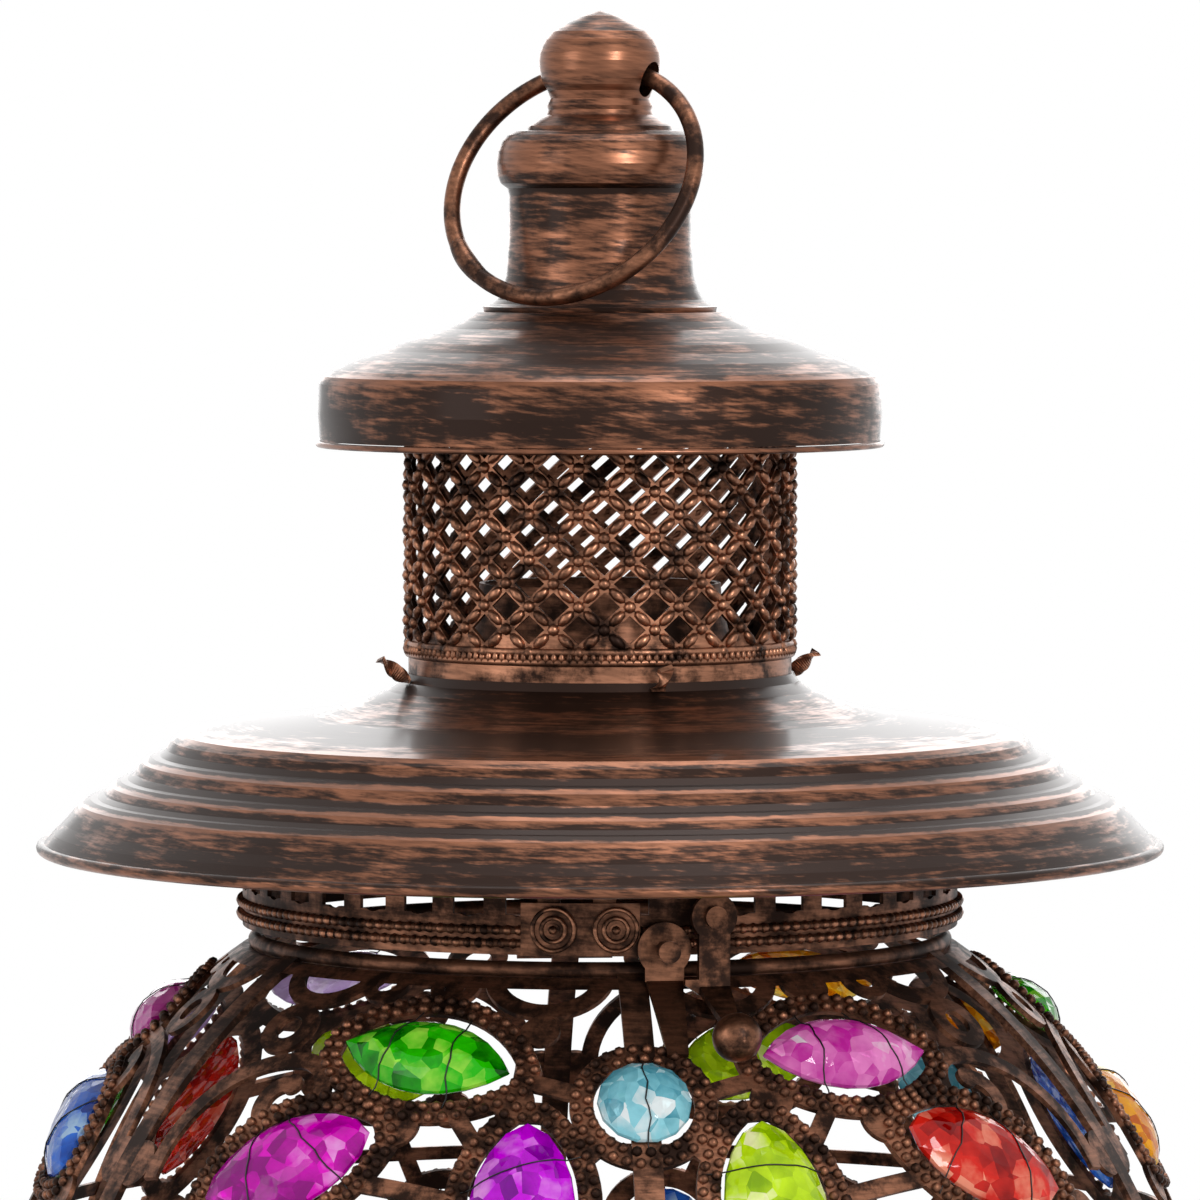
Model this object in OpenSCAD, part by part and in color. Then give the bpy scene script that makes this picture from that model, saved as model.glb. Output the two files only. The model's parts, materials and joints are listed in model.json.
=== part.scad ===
// Jewelled filigree lantern: a wire-and-sheet globe set with stones, on a spun foot,
// with a hinged roof, a lattice chimney gallery, a turned finial and a hanging ring.
// Millimetres, +Z up, origin at the middle of the foot's underside, front towards -Y.
// A turn is an angle round the lantern from the front, positive to the right.
// A fall is an angle down the globe from its top.

/* [Globe] */
// Outer radius of the filigree globe
globe_r = 112; // [104:1:120]
// Thickness of the filigree sheet
sheet_t = 0.9; // [0.7:0.1:1.2]
// Diameter of the wire in the two rim rings
rim_wire_d = 3; // [2.4:0.2:3.6]
// Radius of the top rim ring at the middle of its wire
top_ring_r = 61; // [57:0.5:64]
// Radius of the lower rim ring at the middle of its wire
lower_ring_r = 48; // [44:0.5:52]
// Width of each rib strap
rib_w = 5; // [4:0.5:6]
// Thickness of each rib strap
rib_t = 1.2; // [1:0.1:1.6]

/* [Filigree] */
// Width of the flat band round each stone
frame_w = 4; // [3:0.25:4.5]
// Width of the scroll straps
scroll_w = 3.2; // [2.4:0.2:4]
// Room between the end of a stone and its frame
stone_gap = 0.5; // [0.3:0.1:0.8]
// Length of the long stones
stone_l = 32; // [28:0.5:34]
// Width of the pointed stones
navette_w = 15; // [12:0.5:17]
// Width of the oval stones
oval_w = 18; // [15:0.5:19]
// Diameter of the round stones
round_d = 16; // [13:0.5:17]
// Height of the stones from back to crown
stone_h = 4.4; // [3.6:0.2:5.4]

/* [Foot and candle cup] */
// Outer radius of the foot
foot_r = 75; // [68:1:84]
// Height of the foot
foot_h = 20; // [16:1:26]
// Thickness of the spun sheet in the foot and roofs
spun_t = 0.9; // [0.7:0.1:1.2]
// Height of the punched strip between foot and lower rim ring
base_strip_h = 13.5; // [12:0.5:18]
// Inner radius of the candle cup
cup_r = 20.5; // [18:0.5:24]
// Depth of the candle cup
cup_depth = 13; // [8:1:18]
// Wall of the candle cup
cup_t = 0.8; // [0.6:0.1:1.2]

/* [Roof] */
// Outer radius of the big roof
roof_r = 100; // [96:1:106]
// Height of the big roof from its rim to its neck
roof_h = 32.7; // [30:0.5:36]
// Height of the roof rim above the top rim ring
roof_lift = 14.6; // [13.5:0.2:17]
// Radius of the punched collar under the roof
collar_r = 63.5; // [63.5:0.1:65]
// Gap between the collar and the top rim ring
collar_gap = 1.3; // [1:0.1:2]
// Thickness of the punched strips
strip_t = 0.8; // [0.6:0.1:1]

/* [Chimney] */
// Outer radius of the lattice gallery
gallery_r = 34; // [32:0.5:36]
// Height from the roof neck to the rim of the small roof
gallery_h = 40; // [34:1:46]
// Number of lattice columns round the gallery
lattice_columns = 24; // [20:2:28]
// Width of the lattice strands
strand_w = 2.2; // [1.8:0.1:2.8]
// Outer radius of the small roof
small_roof_r = 50.4; // [46:0.5:54]
// Height of the small roof from its rim to its top land
small_roof_h = 23.9; // [21:0.5:27]
// Largest radius of the chimney cap
cap_r = 18.4; // [17.5:0.2:19.4]
// Height of the chimney cap
cap_h = 32.1; // [30:0.5:36]
// Radius of the throat at its lip
throat_r = 21.4; // [19:0.2:22]

/* [Finial and hanging ring] */
// Radius of the finial ball
finial_r = 10.8; // [10.4:0.2:11.4]
// Height of the finial
finial_h = 21.1; // [20:0.5:23]
// Diameter of the wire in the hanging ring
bail_wire_d = 3; // [2.6:0.2:3.2]
// Radius of the hanging ring at the middle of its wire
bail_r = 23.3; // [23:0.1:24]
// Lean of the hanging ring forward from straight down
bail_lean = 30; // [30:1:34]
// Turn of the hanging ring's hole from straight across
bail_turn = 32; // [0:1:45]

/* [Latch and hinge] */
// Turn of the keeper from the front
keeper_turn = 4.6; // [3.8:0.1:4.8]
// Turn of the hook's rivet from the front
hook_turn = 11.3; // [11.1:0.1:12.4]
// Width of the hook's arm
hook_w = 5.5; // [4.5:0.25:6]
// Thickness of the hook plate
hook_t = 1.2; // [1:0.1:1.5]
// Diameter of the hook's ball knob
knob_d = 8.4; // [7:0.2:9]
// Radius of the hinge pin
pin_r = 1.1; // [0.9:0.05:1.25]
// Radius of the hinge knuckles
knuckle_r = 2.4; // [2.2:0.05:2.6]
// Length of the whole row of knuckles
hinge_l = 18; // [15:0.5:22]

/* [Hidden] */
$fn = 64;

// One overrun for all cuts, and the clearances
over = 1;
solder_gap = 0.02;
run_gap = 0.06;

// Globe: the wires of both rim rings run in the middle of the ribs' thickness
rim_wire_r = rim_wire_d / 2;
rib_mid_r = globe_r - rib_t / 2;
top_rise = sqrt(pow(rib_mid_r, 2) - pow(top_ring_r, 2));
lower_drop = sqrt(pow(rib_mid_r, 2) - pow(lower_ring_r, 2));
lower_ring_z = foot_h + base_strip_h + rim_wire_r;
globe_z = lower_ring_z + lower_drop;
ring_z = globe_z + top_rise;
wire_angle = asin((rim_wire_r + solder_gap) / rib_mid_r);
top_fall = acos(top_rise / rib_mid_r) + wire_angle;
lower_fall = 180 - acos(lower_drop / rib_mid_r) - wire_angle;

// Turns of the six ribs. The two front panels are the widest, as the hand-made globe has them.
rib_turns = [-64, 0, 64, 122, 180, 238];
rib_count = len(rib_turns);
// How far the upper stone of each panel leans, its far end down, as a share of a right angle
upper_lean_shares = [-0.1, 0.0333, 0, 0, 0, 0];

// Stone shapes, and colours in the order of the stone nodes
NAVETTE = 0;
OVAL = 1;
ROUND = 2;
GREEN = 0;
PINK = 1;
MAGENTA = 2;
RED = 3;
PURPLE = 4;
LIME = 5;
AQUA = 6;
BLUE = 7;
LILAC = 8;
AMBER = 9;

// A panel's stones: share of the panel's width from its middle rib, share of its height from
// its top, lean, shape, and the later rows that a strap ties it to
row_shares = [
    [0.42, 0.0879, 0, NAVETTE, [1, 2]], [0.617, 0.1873, 28, OVAL, [2, 4, 5]], [0.2, 0.214, 90, OVAL, [3]],
    [0.2, 0.3493, 0, ROUND, [6]], [0.5, 0.3493, 0, ROUND, [7]], [0.8, 0.3493, 0, ROUND, [8]],
    [0.2, 0.4679, 90, OVAL, [9]], [0.5, 0.4679, 90, NAVETTE, [10]], [0.8, 0.4679, 90, OVAL, [11]],
    [0.2, 0.5866, 0, ROUND, [12]], [0.5, 0.5866, 0, ROUND, [12, 13]], [0.8, 0.5866, 0, ROUND, [13]],
    [0.22, 0.7219, 90, OVAL, [14]], [0.66, 0.7394, -24, OVAL, [14]], [0.44, 0.8522, 0, NAVETTE, []]
];
medal_shares = [0.1279, 0.8355];
// The rows of stones that the upper and the lower medallion are tied to
medal_tie_shares = [[0, 2], [12, 14]];
hoop_shares = [0.0085, 0.2808, 0.4679, 0.6551, 0.9942];
oval_blunt_share = 1.15;
crown_flat_share = 1.15;
inner_curl_share = 0.64;
curl_end_share = 0.62;
eyelet_hole_share = 0.45;
rim_seat_share = 0.74;
hoop_w = 2.6;

// Colours of the panels' stones, in the order of the rows above, one line to a panel
panel_colours = [
    [GREEN, MAGENTA, PURPLE, AMBER, AQUA, LIME, RED, BLUE, GREEN, LILAC, GREEN, AMBER, LIME, RED, PINK],
    [PINK, RED, LIME, AQUA, PURPLE, GREEN, AMBER, MAGENTA, BLUE, GREEN, PURPLE, AQUA, RED, BLUE, GREEN],
    [GREEN, AMBER, BLUE, RED, LIME, PINK, PURPLE, GREEN, AQUA, MAGENTA, LIME, RED, AQUA, LILAC, BLUE],
    [AMBER, LIME, AQUA, GREEN, AMBER, BLUE, MAGENTA, LIME, RED, BLUE, PINK, GREEN, PURPLE, AMBER, RED],
    [LILAC, LIME, RED, PURPLE, BLUE, AQUA, LIME, PINK, GREEN, RED, AQUA, PURPLE, GREEN, PINK, LIME],
    [PINK, BLUE, GREEN, LIME, RED, AMBER, AQUA, PURPLE, LILAC, AMBER, GREEN, MAGENTA, BLUE, LIME, AQUA]
];
medal_colours = [AQUA, AMBER, LILAC];
medal_ribs = [1, 3, 5];

// Stones stand in their frames with their backs this far under the globe's surface
stone_sink = 1;

// Outline sizes of the frames' openings
long_open = stone_l / 2 + stone_gap;
navette_open = navette_w / 2 + 2;
oval_open = oval_w / 2 + stone_gap;
round_open = round_d / 2 + stone_gap;

// Foot outline, as shares of its radius and height
foot_shares = [
    [0.53, 1], [0.661, 1], [0.669, 0.95], [0.68, 0.76], [0.7, 0.62], [0.735, 0.5],
    [0.787, 0.4], [0.85, 0.32], [0.91, 0.255], [0.955, 0.19], [0.98, 0.1]
];
foot_rim_r = 1.6;
foot_rim_flat = 0.3;
pan_step = 1.6;
pan_r = lower_ring_r - pan_step;
pan_t = 1;
pan_lip_h = 4;
cup_z = foot_h + pan_t;
cup_rivet_r = 2;
rivet_head_r = 4;
rivet_head_h = 1.2;
cup_roll_r = 0.9;
cup_corner_lap = 0.4;
cup_corner = rivet_head_h + cup_corner_lap;

// Punched strips: arched openings over two plain bead bands
collar_z = ring_z + rim_wire_r + collar_gap;
collar_arches = 42;
base_arches = 34;
arch_w = 5.6;
arch_h = 5.2;
arch_lift = 6.8;
base_arch_lift = 6.2;
bead_r = 0.7;
strip_bead_lift = 1.96;
strip_bead_pitch = 2.24;

// Big roof outline: a level neck that the gallery stands on, then the slope as shares of its
// reach from the neck to the rim and of the roof's height
neck_land = 0.4;
neck_r = gallery_r + neck_land;
neck_step = 2.6;
neck_hole_r = throat_r + neck_step;
slope_shares = [
    [0.012, 0.955], [0.05, 0.905], [0.119, 0.845], [0.191, 0.798], [0.253, 0.768],
    [0.39, 0.733], [0.543, 0.697], [0.607, 0.673], [0.633, 0.636], [0.648, 0.59],
    [0.666, 0.557], [0.688, 0.55], [0.712, 0.52], [0.733, 0.462], [0.753, 0.431],
    [0.773, 0.425], [0.797, 0.394], [0.816, 0.352], [0.834, 0.33], [0.855, 0.327],
    [0.88, 0.297], [0.901, 0.251], [0.925, 0.196], [0.953, 0.141], [0.971, 0.1],
    [0.985, 0.07]
];
roof_line = concat(
    [[neck_hole_r, roof_h], [neck_r, roof_h]],
    [for (p = slope_shares) [neck_r + p[0] * (roof_r - neck_r), p[1] * roof_h]]
);
roof_roll_r = 1;
neck_z = ring_z + roof_lift + roof_h;
roof_z = ring_z + roof_lift;

// Throat
throat_h = 15.9;
throat_flange_w = 7.6;
throat_shares = [
    [0, 1], [0.0395, 0.74], [0.2368, 0.33], [0.342, 0.03], [0.526, 0], [1, 0]
];

// Gallery
gallery_band_h = 2.8;
gallery_bead_h = 2.8;
lattice_gap = 1.6;
lattice_rows = 10;
lattice_pitch = 2 * 180 * gallery_r / (180 / PI) / lattice_columns;
lattice_step = 4;
small_rim_z = neck_z + gallery_h;
tab_turn = 11.5;
tab_count = 4;
tab_l = 6.5;
tab_w = 2.6;
tab_t = 0.8;
tab_core_share = 0.7;
tab_drop = 1.1;
tab_lean = 52;

// Small roof outline, as shares of its radius and height
small_roof_shares = [
    [0.361, 1], [0.43, 1], [0.474, 0.937], [0.53, 0.879], [0.625, 0.82], [0.69, 0.776],
    [0.758, 0.715], [0.857, 0.644], [0.938, 0.569], [0.974, 0.525], [0.988, 0.469],
    [0.992, 0.25], [0.985, 0.05]
];
small_roll_r = 0.55;
cap_z = small_rim_z + small_roof_h;

// Chimney cap outline, as shares of its largest radius and height
cap_shares = [
    [0.13, 1], [0.7, 1], [0.815, 0.993], [0.885, 0.973], [0.94, 0.94], [0.98, 0.885], [1, 0.815],
    [0.989, 0.755], [0.955, 0.707], [0.89, 0.68], [0.875, 0.645], [0.875, 0.4], [0.902, 0.202],
    [0.94, 0.125], [0.99, 0.068], [1.04, 0.046], [1.085, 0.034]
];
cap_flange_share = 1.13;
cap_top_z = cap_z + cap_h;

// Finial outline, as shares of its ball radius and height
finial_shares = [
    [0, 0], [1.194, 0], [1.167, 0.035], [1.02, 0.085], [0.88, 0.128], [0.85, 0.171],
    [0.87, 0.205], [0.815, 0.265], [0.86, 0.33], [0.92, 0.38], [0.96, 0.43], [0.99, 0.5],
    [1, 0.58], [0.985, 0.65], [0.944, 0.7], [0.889, 0.758], [0.778, 0.825], [0.546, 0.891],
    [0.278, 0.957], [0, 1]
];
hollow_share = 0.76;
hollow_lift_share = 0.488;
hole_lift_share = 0.422;
bail_wire_r = bail_wire_d / 2;
bail_play = 1.6;
bail_hole_r = bail_wire_r + bail_play;
bail_half_chord = finial_r - 0.5;
bail_z = cap_top_z + hole_lift_share * finial_h;
bail_drop = sqrt(pow(bail_r, 2) - pow(bail_half_chord, 2));
screw_r = 2;
screw_head_r = 3.8;
screw_head_h = 2.4;
screw_reach = 3;

// Latch: the hook hangs from a rivet on the collar beside the keeper's peg, and its beak
// goes under the peg when the knob is pushed towards it
hook_lift = 9.7;
keeper_lift = 4;
keeper_head_r = 4.6;
keeper_t = 0.9;
keeper_gap = 1.3;
keeper_face_r = collar_r + keeper_gap;
peg_r = 1.4;
peg_head_r = 1.9;
peg_head_h = 0.8;
hook_gap = 2.4;
hook_face_r = keeper_face_r + keeper_t + hook_gap;
hook_boss_r = 4;
hook_rivet_r = 1.3;
rivet_boss_r = 1.9;
rivet_seat = 0.05;
beak_w = 2.6;
beak_tip_h = 0.9;
beak_reach = 0.6;
latch_gap = 0.45;
peg_play = 0.5;
tail_share = 0.6;
keeper_l = 17.6;
keeper_top_fall = asin(keeper_face_r / globe_r);
keeper_low_fall = keeper_top_fall + keeper_l / globe_r * 180 / PI;
keeper_lap = 1.5;
keeper_tip_w = 3.2;
keeper_top_w = 6.7;
knob_r = 82;
knob_drop = 9.5;
tail_tip_w = 3;

// Hinge at the back
hinge_gap = 4.3;
hinge_y = collar_r + hinge_gap;
hinge_lift = 2.4;
hinge_z = ring_z + hinge_lift;
knuckle_gap = 0.3;
pin_head_share = 1.5;
leg_gap = 0.5;
plate_gap = 0.1;
roof_knuckle_l = hinge_l / 3;
leaf_t = 1;
leaf_h = 9;
leaf_l = 13;
leaf_seat = 0.05;
leaf_lap = 0.6;
leaf_top_fall = asin((hinge_y - leaf_t - leaf_lap) / globe_r);
leaf_low_fall = leaf_top_fall + leaf_l / globe_r * 180 / PI;

// Sheet outlines

function scaled(shares, r, h) = [for (p = shares) [p[0] * r, p[1] * h]];

function unit(v) = v / norm(v);

// Inward direction at a point of an outline that runs from the top inwards to the rim outwards
function inward(points, i) =
    let (a = points[max(i - 1, 0)], b = points[min(i + 1, len(points) - 1)], d = unit(b - a))
    [d[1], -d[0]];

// A closed sheet outline of thickness t, from the outer line and the same line moved inwards
function sheet_outline(points, t) = concat(
    points,
    [for (i = [len(points) - 1 : -1 : 0]) points[i] + t * inward(points, i)]
);

// Height of the underside of a sheet at radius r
function under(points, r, t) =
    let (
        i = max([for (k = [0 : len(points) - 2]) points[k][0] <= r ? k : 0]),
        a = points[i],
        b = points[i + 1],
        slope = (b[1] - a[1]) / (b[0] - a[0])
    )
    a[1] + slope * (r - a[0]) - t * sqrt(1 + slope * slope);

// Places on the globe

// Puts its children on the globe, their +Z outwards, +X to the right and +Y up
module on_globe(turn, fall, r = globe_r) {
    translate([0, 0, globe_z])
        rotate([0, 0, turn])
        rotate([fall, 0, 0])
        translate([0, 0, r])
        children();
}

// A strap along a line of longitude, between two falls
module meridian_band(turn, fall_a, fall_b, r, t, w) {
    translate([0, 0, globe_z])
        rotate([0, 0, turn + 180])
        rotate([0, -90, 0])
        rotate([0, 0, fall_a])
        rotate_extrude(angle = fall_b - fall_a)
        translate([r, -w / 2])
        square([t, w]);
}

// Outlines of stones and their frames

// Two long arcs and two blunt ends
module oval_outline(a, b) {
    arc_r = (a * a * oval_blunt_share + b * b) / (2 * b);
    intersection() {
        translate([0, b - arc_r]) circle(arc_r);
        translate([0, arc_r - b]) circle(arc_r);
        circle(a);
    }
}

// Two long arcs that meet in points
module navette_outline(a, b) {
    arc_r = (a * a + b * b) / (2 * b);
    intersection() {
        translate([0, b - arc_r]) circle(arc_r);
        translate([0, arc_r - b]) circle(arc_r);
    }
}

module stone_outline(shape) {
    if (shape == NAVETTE) navette_outline(stone_l / 2, navette_w / 2);
    if (shape == OVAL) oval_outline(stone_l / 2, oval_w / 2);
    if (shape == ROUND) circle(round_d / 2);
}

module frame_opening(shape) {
    if (shape == NAVETTE) oval_outline(long_open, navette_open);
    if (shape == OVAL) oval_outline(long_open, oval_open);
    if (shape == ROUND) circle(round_open);
}

module frame_outline(shape) {
    if (shape == NAVETTE) oval_outline(long_open + frame_w, navette_open + frame_w);
    if (shape == OVAL) oval_outline(long_open + frame_w, oval_open + frame_w);
    if (shape == ROUND) circle(round_open + frame_w);
}

// A stone: a girdle of its outline under a low crown
module stone(shape) {
    crown_r = (pow(stone_l / 2, 2) + pow(stone_h, 2)) / (2 * stone_h) * crown_flat_share;
    intersection() {
        linear_extrude(stone_h) stone_outline(shape);
        translate([0, 0, stone_h - crown_r]) sphere(crown_r);
    }
}

// One panel's stones as [turn from the middle rib, fall, lean, shape], in the colour table's order
function panel_stones(i) =
    let (w = panel_width(i))
    [
        for (k = [0 : len(row_shares) - 1])
            let (row = row_shares[k])
            [row[0] * w, fall_at(row[1]), row[2] + (k == 0 ? upper_lean_shares[i] * 90 : 0), row[3]]
    ];

// Fall at a share of the panels' height, from the top ring's edge to the lower ring's
function fall_at(share) = top_fall + share * (lower_fall - top_fall);

function next_turn(i) = i + 1 < rib_count ? rib_turns[i + 1] : rib_turns[0] + 360;

function panel_width(i) = next_turn(i) - rib_turns[i];

// Panels go in pairs that mirror each other across a middle rib
function is_left(i) = i % 2 == 0;

module panel_place(i) {
    if (is_left(i)) rotate([0, 0, next_turn(i)]) mirror([1, 0, 0]) children();
    else rotate([0, 0, rib_turns[i]]) children();
}

// Filigree

// Half of a ring strap, on one side of the Y axis
module half_ring(r, side) {
    intersection() {
        difference() {
            circle(r + scroll_w / 2);
            circle(r - scroll_w / 2);
        }
        translate([side > 0 ? 0 : -2 * r - scroll_w, -r - scroll_w])
            square([2 * r + scroll_w, 2 * r + 2 * scroll_w]);
    }
}

// A strap that rises from the far rib and curls in on itself
module scroll(curl_r, root_r) {
    union() {
        half_ring(curl_r, -1);
        translate([0, -curl_r * (1 - inner_curl_share)]) half_ring(curl_r * inner_curl_share, 1);
        translate([0, curl_r * (2 * inner_curl_share - 1)]) circle(scroll_w * curl_end_share);
        translate([0, curl_r - root_r])
            intersection() {
                difference() {
                    circle(root_r + scroll_w / 2);
                    circle(root_r - scroll_w / 2);
                }
                square([root_r + scroll_w, root_r + scroll_w]);
            }
    }
}

// A flat outline stood through the sheet at a place on the globe
module stamp(turn, fall, lean = 0) {
    on_globe(turn, fall, globe_r - stamp_depth)
        rotate([0, 0, -lean])
        linear_extrude(2 * stamp_depth)
        children();
}
stamp_depth = 6;

module eyelet(r) {
    difference() {
        circle(r);
        circle(r * eyelet_hole_share);
    }
}

// The sheet of one panel, before it is pierced: the globe's skin between two ribs and two rings
module panel_skin(w) {
    intersection() {
        translate([0, 0, globe_z])
            rotate([0, 0, w + 90])
            difference() {
                sphere(globe_r);
                sphere(globe_r - sheet_t);
                translate([0, 0, -globe_r - over])
                    cylinder(r = lower_ring_r + rim_wire_r + solder_gap, h = globe_r / 2);
            }
        translate([rib_w / 2, -globe_r - over, 0])
            cube([2 * globe_r, globe_r + over, ring_z - rim_seat_share * rim_wire_r]);
        rotate([0, 0, w])
            translate([-2 * globe_r - rib_w / 2, -globe_r - over, 0])
            cube([2 * globe_r, globe_r + over, ring_z]);
    }
}

// Radii of the scroll's curl and root, of the half rings and of the small links
curl_r = globe_r * 0.0616;
root_r = globe_r * 0.2143;
arch_ring_r = globe_r * 0.0848;
link_r = globe_r * 0.0393;
// Places as shares of the panel's width and height, with sizes as shares of the link
curl_shares = [0.683, 0.1279];
arch_shares = [0.2, 0.77];
boss_shares = [
    [0.2, 0.0603, 0.75], [0.235, 0.1246, 0.85], [0.44, 0.148, 1], [0.965, 0.2006, 1],
    [0.8, 0.2391, 0.9], [0.78, 0.6684, 1], [0.13, 0.8063, 1], [0.52, 0.8004, 1],
    [0.3, 0.8104, 1], [0.69, 0.8564, 0.9], [0.85, 0.8297, 1]
];
eyelet_shares = [
    [0.42, 0.0177, 1], [0.6, 0.0177, 1], [0.78, 0.0695, 1.3], [0.79, 0.8606, 1.9],
    [0.93, 0.8021, 1.6], [0.44, 0.9374, 1.6], [0.44, 0.9792, 1], [0.78, 0.9257, 1.75],
    [0.11, 0.9149, 2.3]
];

// A narrow hoop of sheet round the globe at one fall
module hoop(fall) {
    translate([0, 0, globe_z + globe_r * cos(fall) - hoop_w / 2])
        cylinder(r = globe_r + over, h = hoop_w);
}

// A strap between two places of a panel, each as [turn, fall]
module tie(a, b) {
    mid_fall = (a[1] + b[1]) / 2;
    across = (b[0] - a[0]) * sin(mid_fall) * globe_r * PI / 180;
    up = (a[1] - b[1]) * globe_r * PI / 180;
    stamp((a[0] + b[0]) / 2, mid_fall, -atan2(up, across))
        square([norm([across, up]), scroll_w], center = true);
}

module strap_ring(r) {
    difference() {
        circle(r + scroll_w / 2);
        circle(r - scroll_w / 2);
    }
}

module panel_pattern(i) {
    w = panel_width(i);
    places = panel_stones(i);
    last = len(places) - 1;
    difference() {
        union() {
            for (s = places) stamp(s[0], s[1], s[2]) frame_outline(s[3]);
            for (k = [0 : last], to = row_shares[k][4]) tie(places[k], places[to]);
            tie(places[0], [places[0][0], top_fall]);
            tie(places[last], [places[last][0], lower_fall]);
            for (share = hoop_shares) hoop(fall_at(share));
            // Medallions that the two panels share across their middle rib
            for (m = [0, 1]) {
                stamp(0, fall_at(medal_shares[m])) frame_outline(ROUND);
                for (to = medal_tie_shares[m]) tie([0, fall_at(medal_shares[m])], places[to]);
            }
            // Scrolls out of the far rib
            stamp(curl_shares[0] * w, fall_at(curl_shares[1])) scroll(curl_r, root_r);
            // Half rings under the top ring and over the lower ring
            for (share = arch_shares) {
                stamp(share * w, top_fall) strap_ring(arch_ring_r);
                stamp(share * w, lower_fall) strap_ring(arch_ring_r);
            }
            // Bosses and eyelets that tie the frames together, as [share, fall, size]
            for (b = boss_shares) stamp(b[0] * w, fall_at(b[1])) circle(b[2] * link_r);
            for (b = eyelet_shares) stamp(b[0] * w, fall_at(b[1])) eyelet(b[2] * link_r);
        }
        for (s = places) stamp(s[0], s[1], s[2]) frame_opening(s[3]);
        for (share = medal_shares) stamp(0, fall_at(share)) frame_opening(ROUND);
    }
}

module filigree(i) {
    color("saddlebrown")
        panel_place(i)
        intersection() {
            panel_skin(panel_width(i));
            panel_pattern(i);
        }
}

stone_paints = [
    "green", "hotpink", "magenta", "red", "purple",
    "greenyellow", "lightblue", "royalblue", "plum", "orange"
];

module stones(colour) {
    color(stone_paints[colour]) {
        for (i = [0 : rib_count - 1])
            panel_place(i) {
                places = panel_stones(i);
                for (k = [0 : len(places) - 1])
                    if (panel_colours[i][k] == colour)
                        on_globe(places[k][0], places[k][1], globe_r - stone_sink)
                            rotate([0, 0, -places[k][2]])
                            stone(places[k][3]);
            }
        for (k = [0 : len(medal_ribs) - 1])
            if (medal_colours[k] == colour)
                for (share = medal_shares)
                    on_globe(rib_turns[medal_ribs[k]], fall_at(share), globe_r + solder_gap)
                        stone(ROUND);
    }
}

module rib(i) {
    color("sienna")
        meridian_band(rib_turns[i], top_fall, lower_fall, globe_r - rib_t, rib_t, rib_w);
}

module rim_ring(r, z) {
    color("sienna")
        translate([0, 0, z])
        rotate_extrude()
        translate([r, 0])
        circle(rim_wire_r);
}

// Foot, pan and cup

module foot() {
    color("peru")
        rotate_extrude() {
            polygon(sheet_outline(scaled(foot_shares, foot_r, foot_h), spun_t));
            intersection() {
                translate([foot_r - foot_rim_r, foot_rim_r - foot_rim_flat]) circle(foot_rim_r);
                translate([0, 0]) square([foot_r, foot_h]);
            }
        }
}

module floor_pan() {
    color("sienna")
        translate([0, 0, foot_h])
        difference() {
            union() {
                cylinder(r = pan_r, h = pan_t);
                difference() {
                    cylinder(r = pan_r, h = pan_lip_h);
                    translate([0, 0, -over]) cylinder(r = pan_r - pan_t, h = pan_lip_h + 2 * over);
                }
            }
            translate([0, 0, -over]) cylinder(r = cup_rivet_r + solder_gap, h = pan_t + 2 * over);
        }
}

// A strip with a row of arched openings and two raised bead bands. The arch nearest to
// blank_turn is left whole, as a land for a rivet.
module punched_strip(r, z, h, arches, lift, blank_turn = -180) {
    translate([0, 0, z])
        difference() {
            rotate_extrude() {
                translate([r - strip_t, 0]) square([strip_t, h]);
                for (k = [0 : 1]) translate([r, strip_bead_lift + k * strip_bead_pitch]) circle(bead_r);
            }
            for (k = [0 : arches - 1])
                if (abs(k * 360 / arches - blank_turn) > 180 / arches)
                    rotate([0, 0, k * 360 / arches])
                        translate([0, -r + strip_t + over, lift])
                        rotate([90, 0, 0])
                        linear_extrude(strip_t + 3 * over)
                        arch();
        }
}

module arch() {
    union() {
        translate([-arch_w / 2, 0]) square([arch_w, arch_h - arch_w / 2]);
        translate([0, arch_h - arch_w / 2]) circle(arch_w / 2);
    }
}

module base_strip() {
    color("peru")
        punched_strip(lower_ring_r + strip_t / 2, foot_h, base_strip_h, base_arches, base_arch_lift);
}

// The cup's bottom corner slopes, and its straight wall starts above the rivet's head
module candle_cup() {
    outer_r = cup_r + cup_t;
    top = cup_depth + cup_t;
    color("sienna")
        translate([0, 0, cup_z])
        difference() {
            rotate_extrude() {
                polygon([
                    [0, 0], [outer_r - cup_corner, 0], [outer_r, cup_corner], [outer_r, top],
                    [cup_r, top], [cup_r, cup_t + cup_corner], [cup_r - cup_corner, cup_t], [0, cup_t]
                ]);
                translate([cup_r + cup_t / 2, top - cup_roll_r])
                    intersection() {
                        translate([cup_t / 2, 0]) circle(cup_roll_r);
                        translate([0, -cup_roll_r]) square([2 * cup_roll_r, 2 * cup_roll_r]);
                    }
            }
            translate([0, 0, -over]) cylinder(r = cup_rivet_r + solder_gap, h = cup_t + 2 * over);
        }
}

module cup_rivet() {
    color("silver")
        translate([0, 0, foot_h]) {
            cylinder(r = cup_rivet_r, h = pan_t + cup_t);
            translate([0, 0, -rivet_head_h]) cylinder(r = rivet_head_r, h = rivet_head_h);
            translate([0, 0, pan_t + cup_t]) cylinder(r = rivet_head_r, h = rivet_head_h);
        }
}

// Roof

module big_roof() {
    color("peru")
        translate([0, 0, roof_z])
        rotate_extrude() {
            polygon(sheet_outline(roof_line, spun_t));
            translate([roof_r - roof_roll_r, 2 * roof_roll_r]) circle(roof_roll_r);
        }
}

module collar() {
    top = roof_z + under(roof_line, collar_r, spun_t) - solder_gap;
    color("sienna")
        difference() {
            punched_strip(collar_r, collar_z, top - collar_z, collar_arches, arch_lift, hook_turn);
            at_turn(hook_turn, collar_r - strip_t - over, hook_lift)
                cylinder(r = hook_rivet_r + solder_gap, h = strip_t + 2 * over);
        }
}

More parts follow.
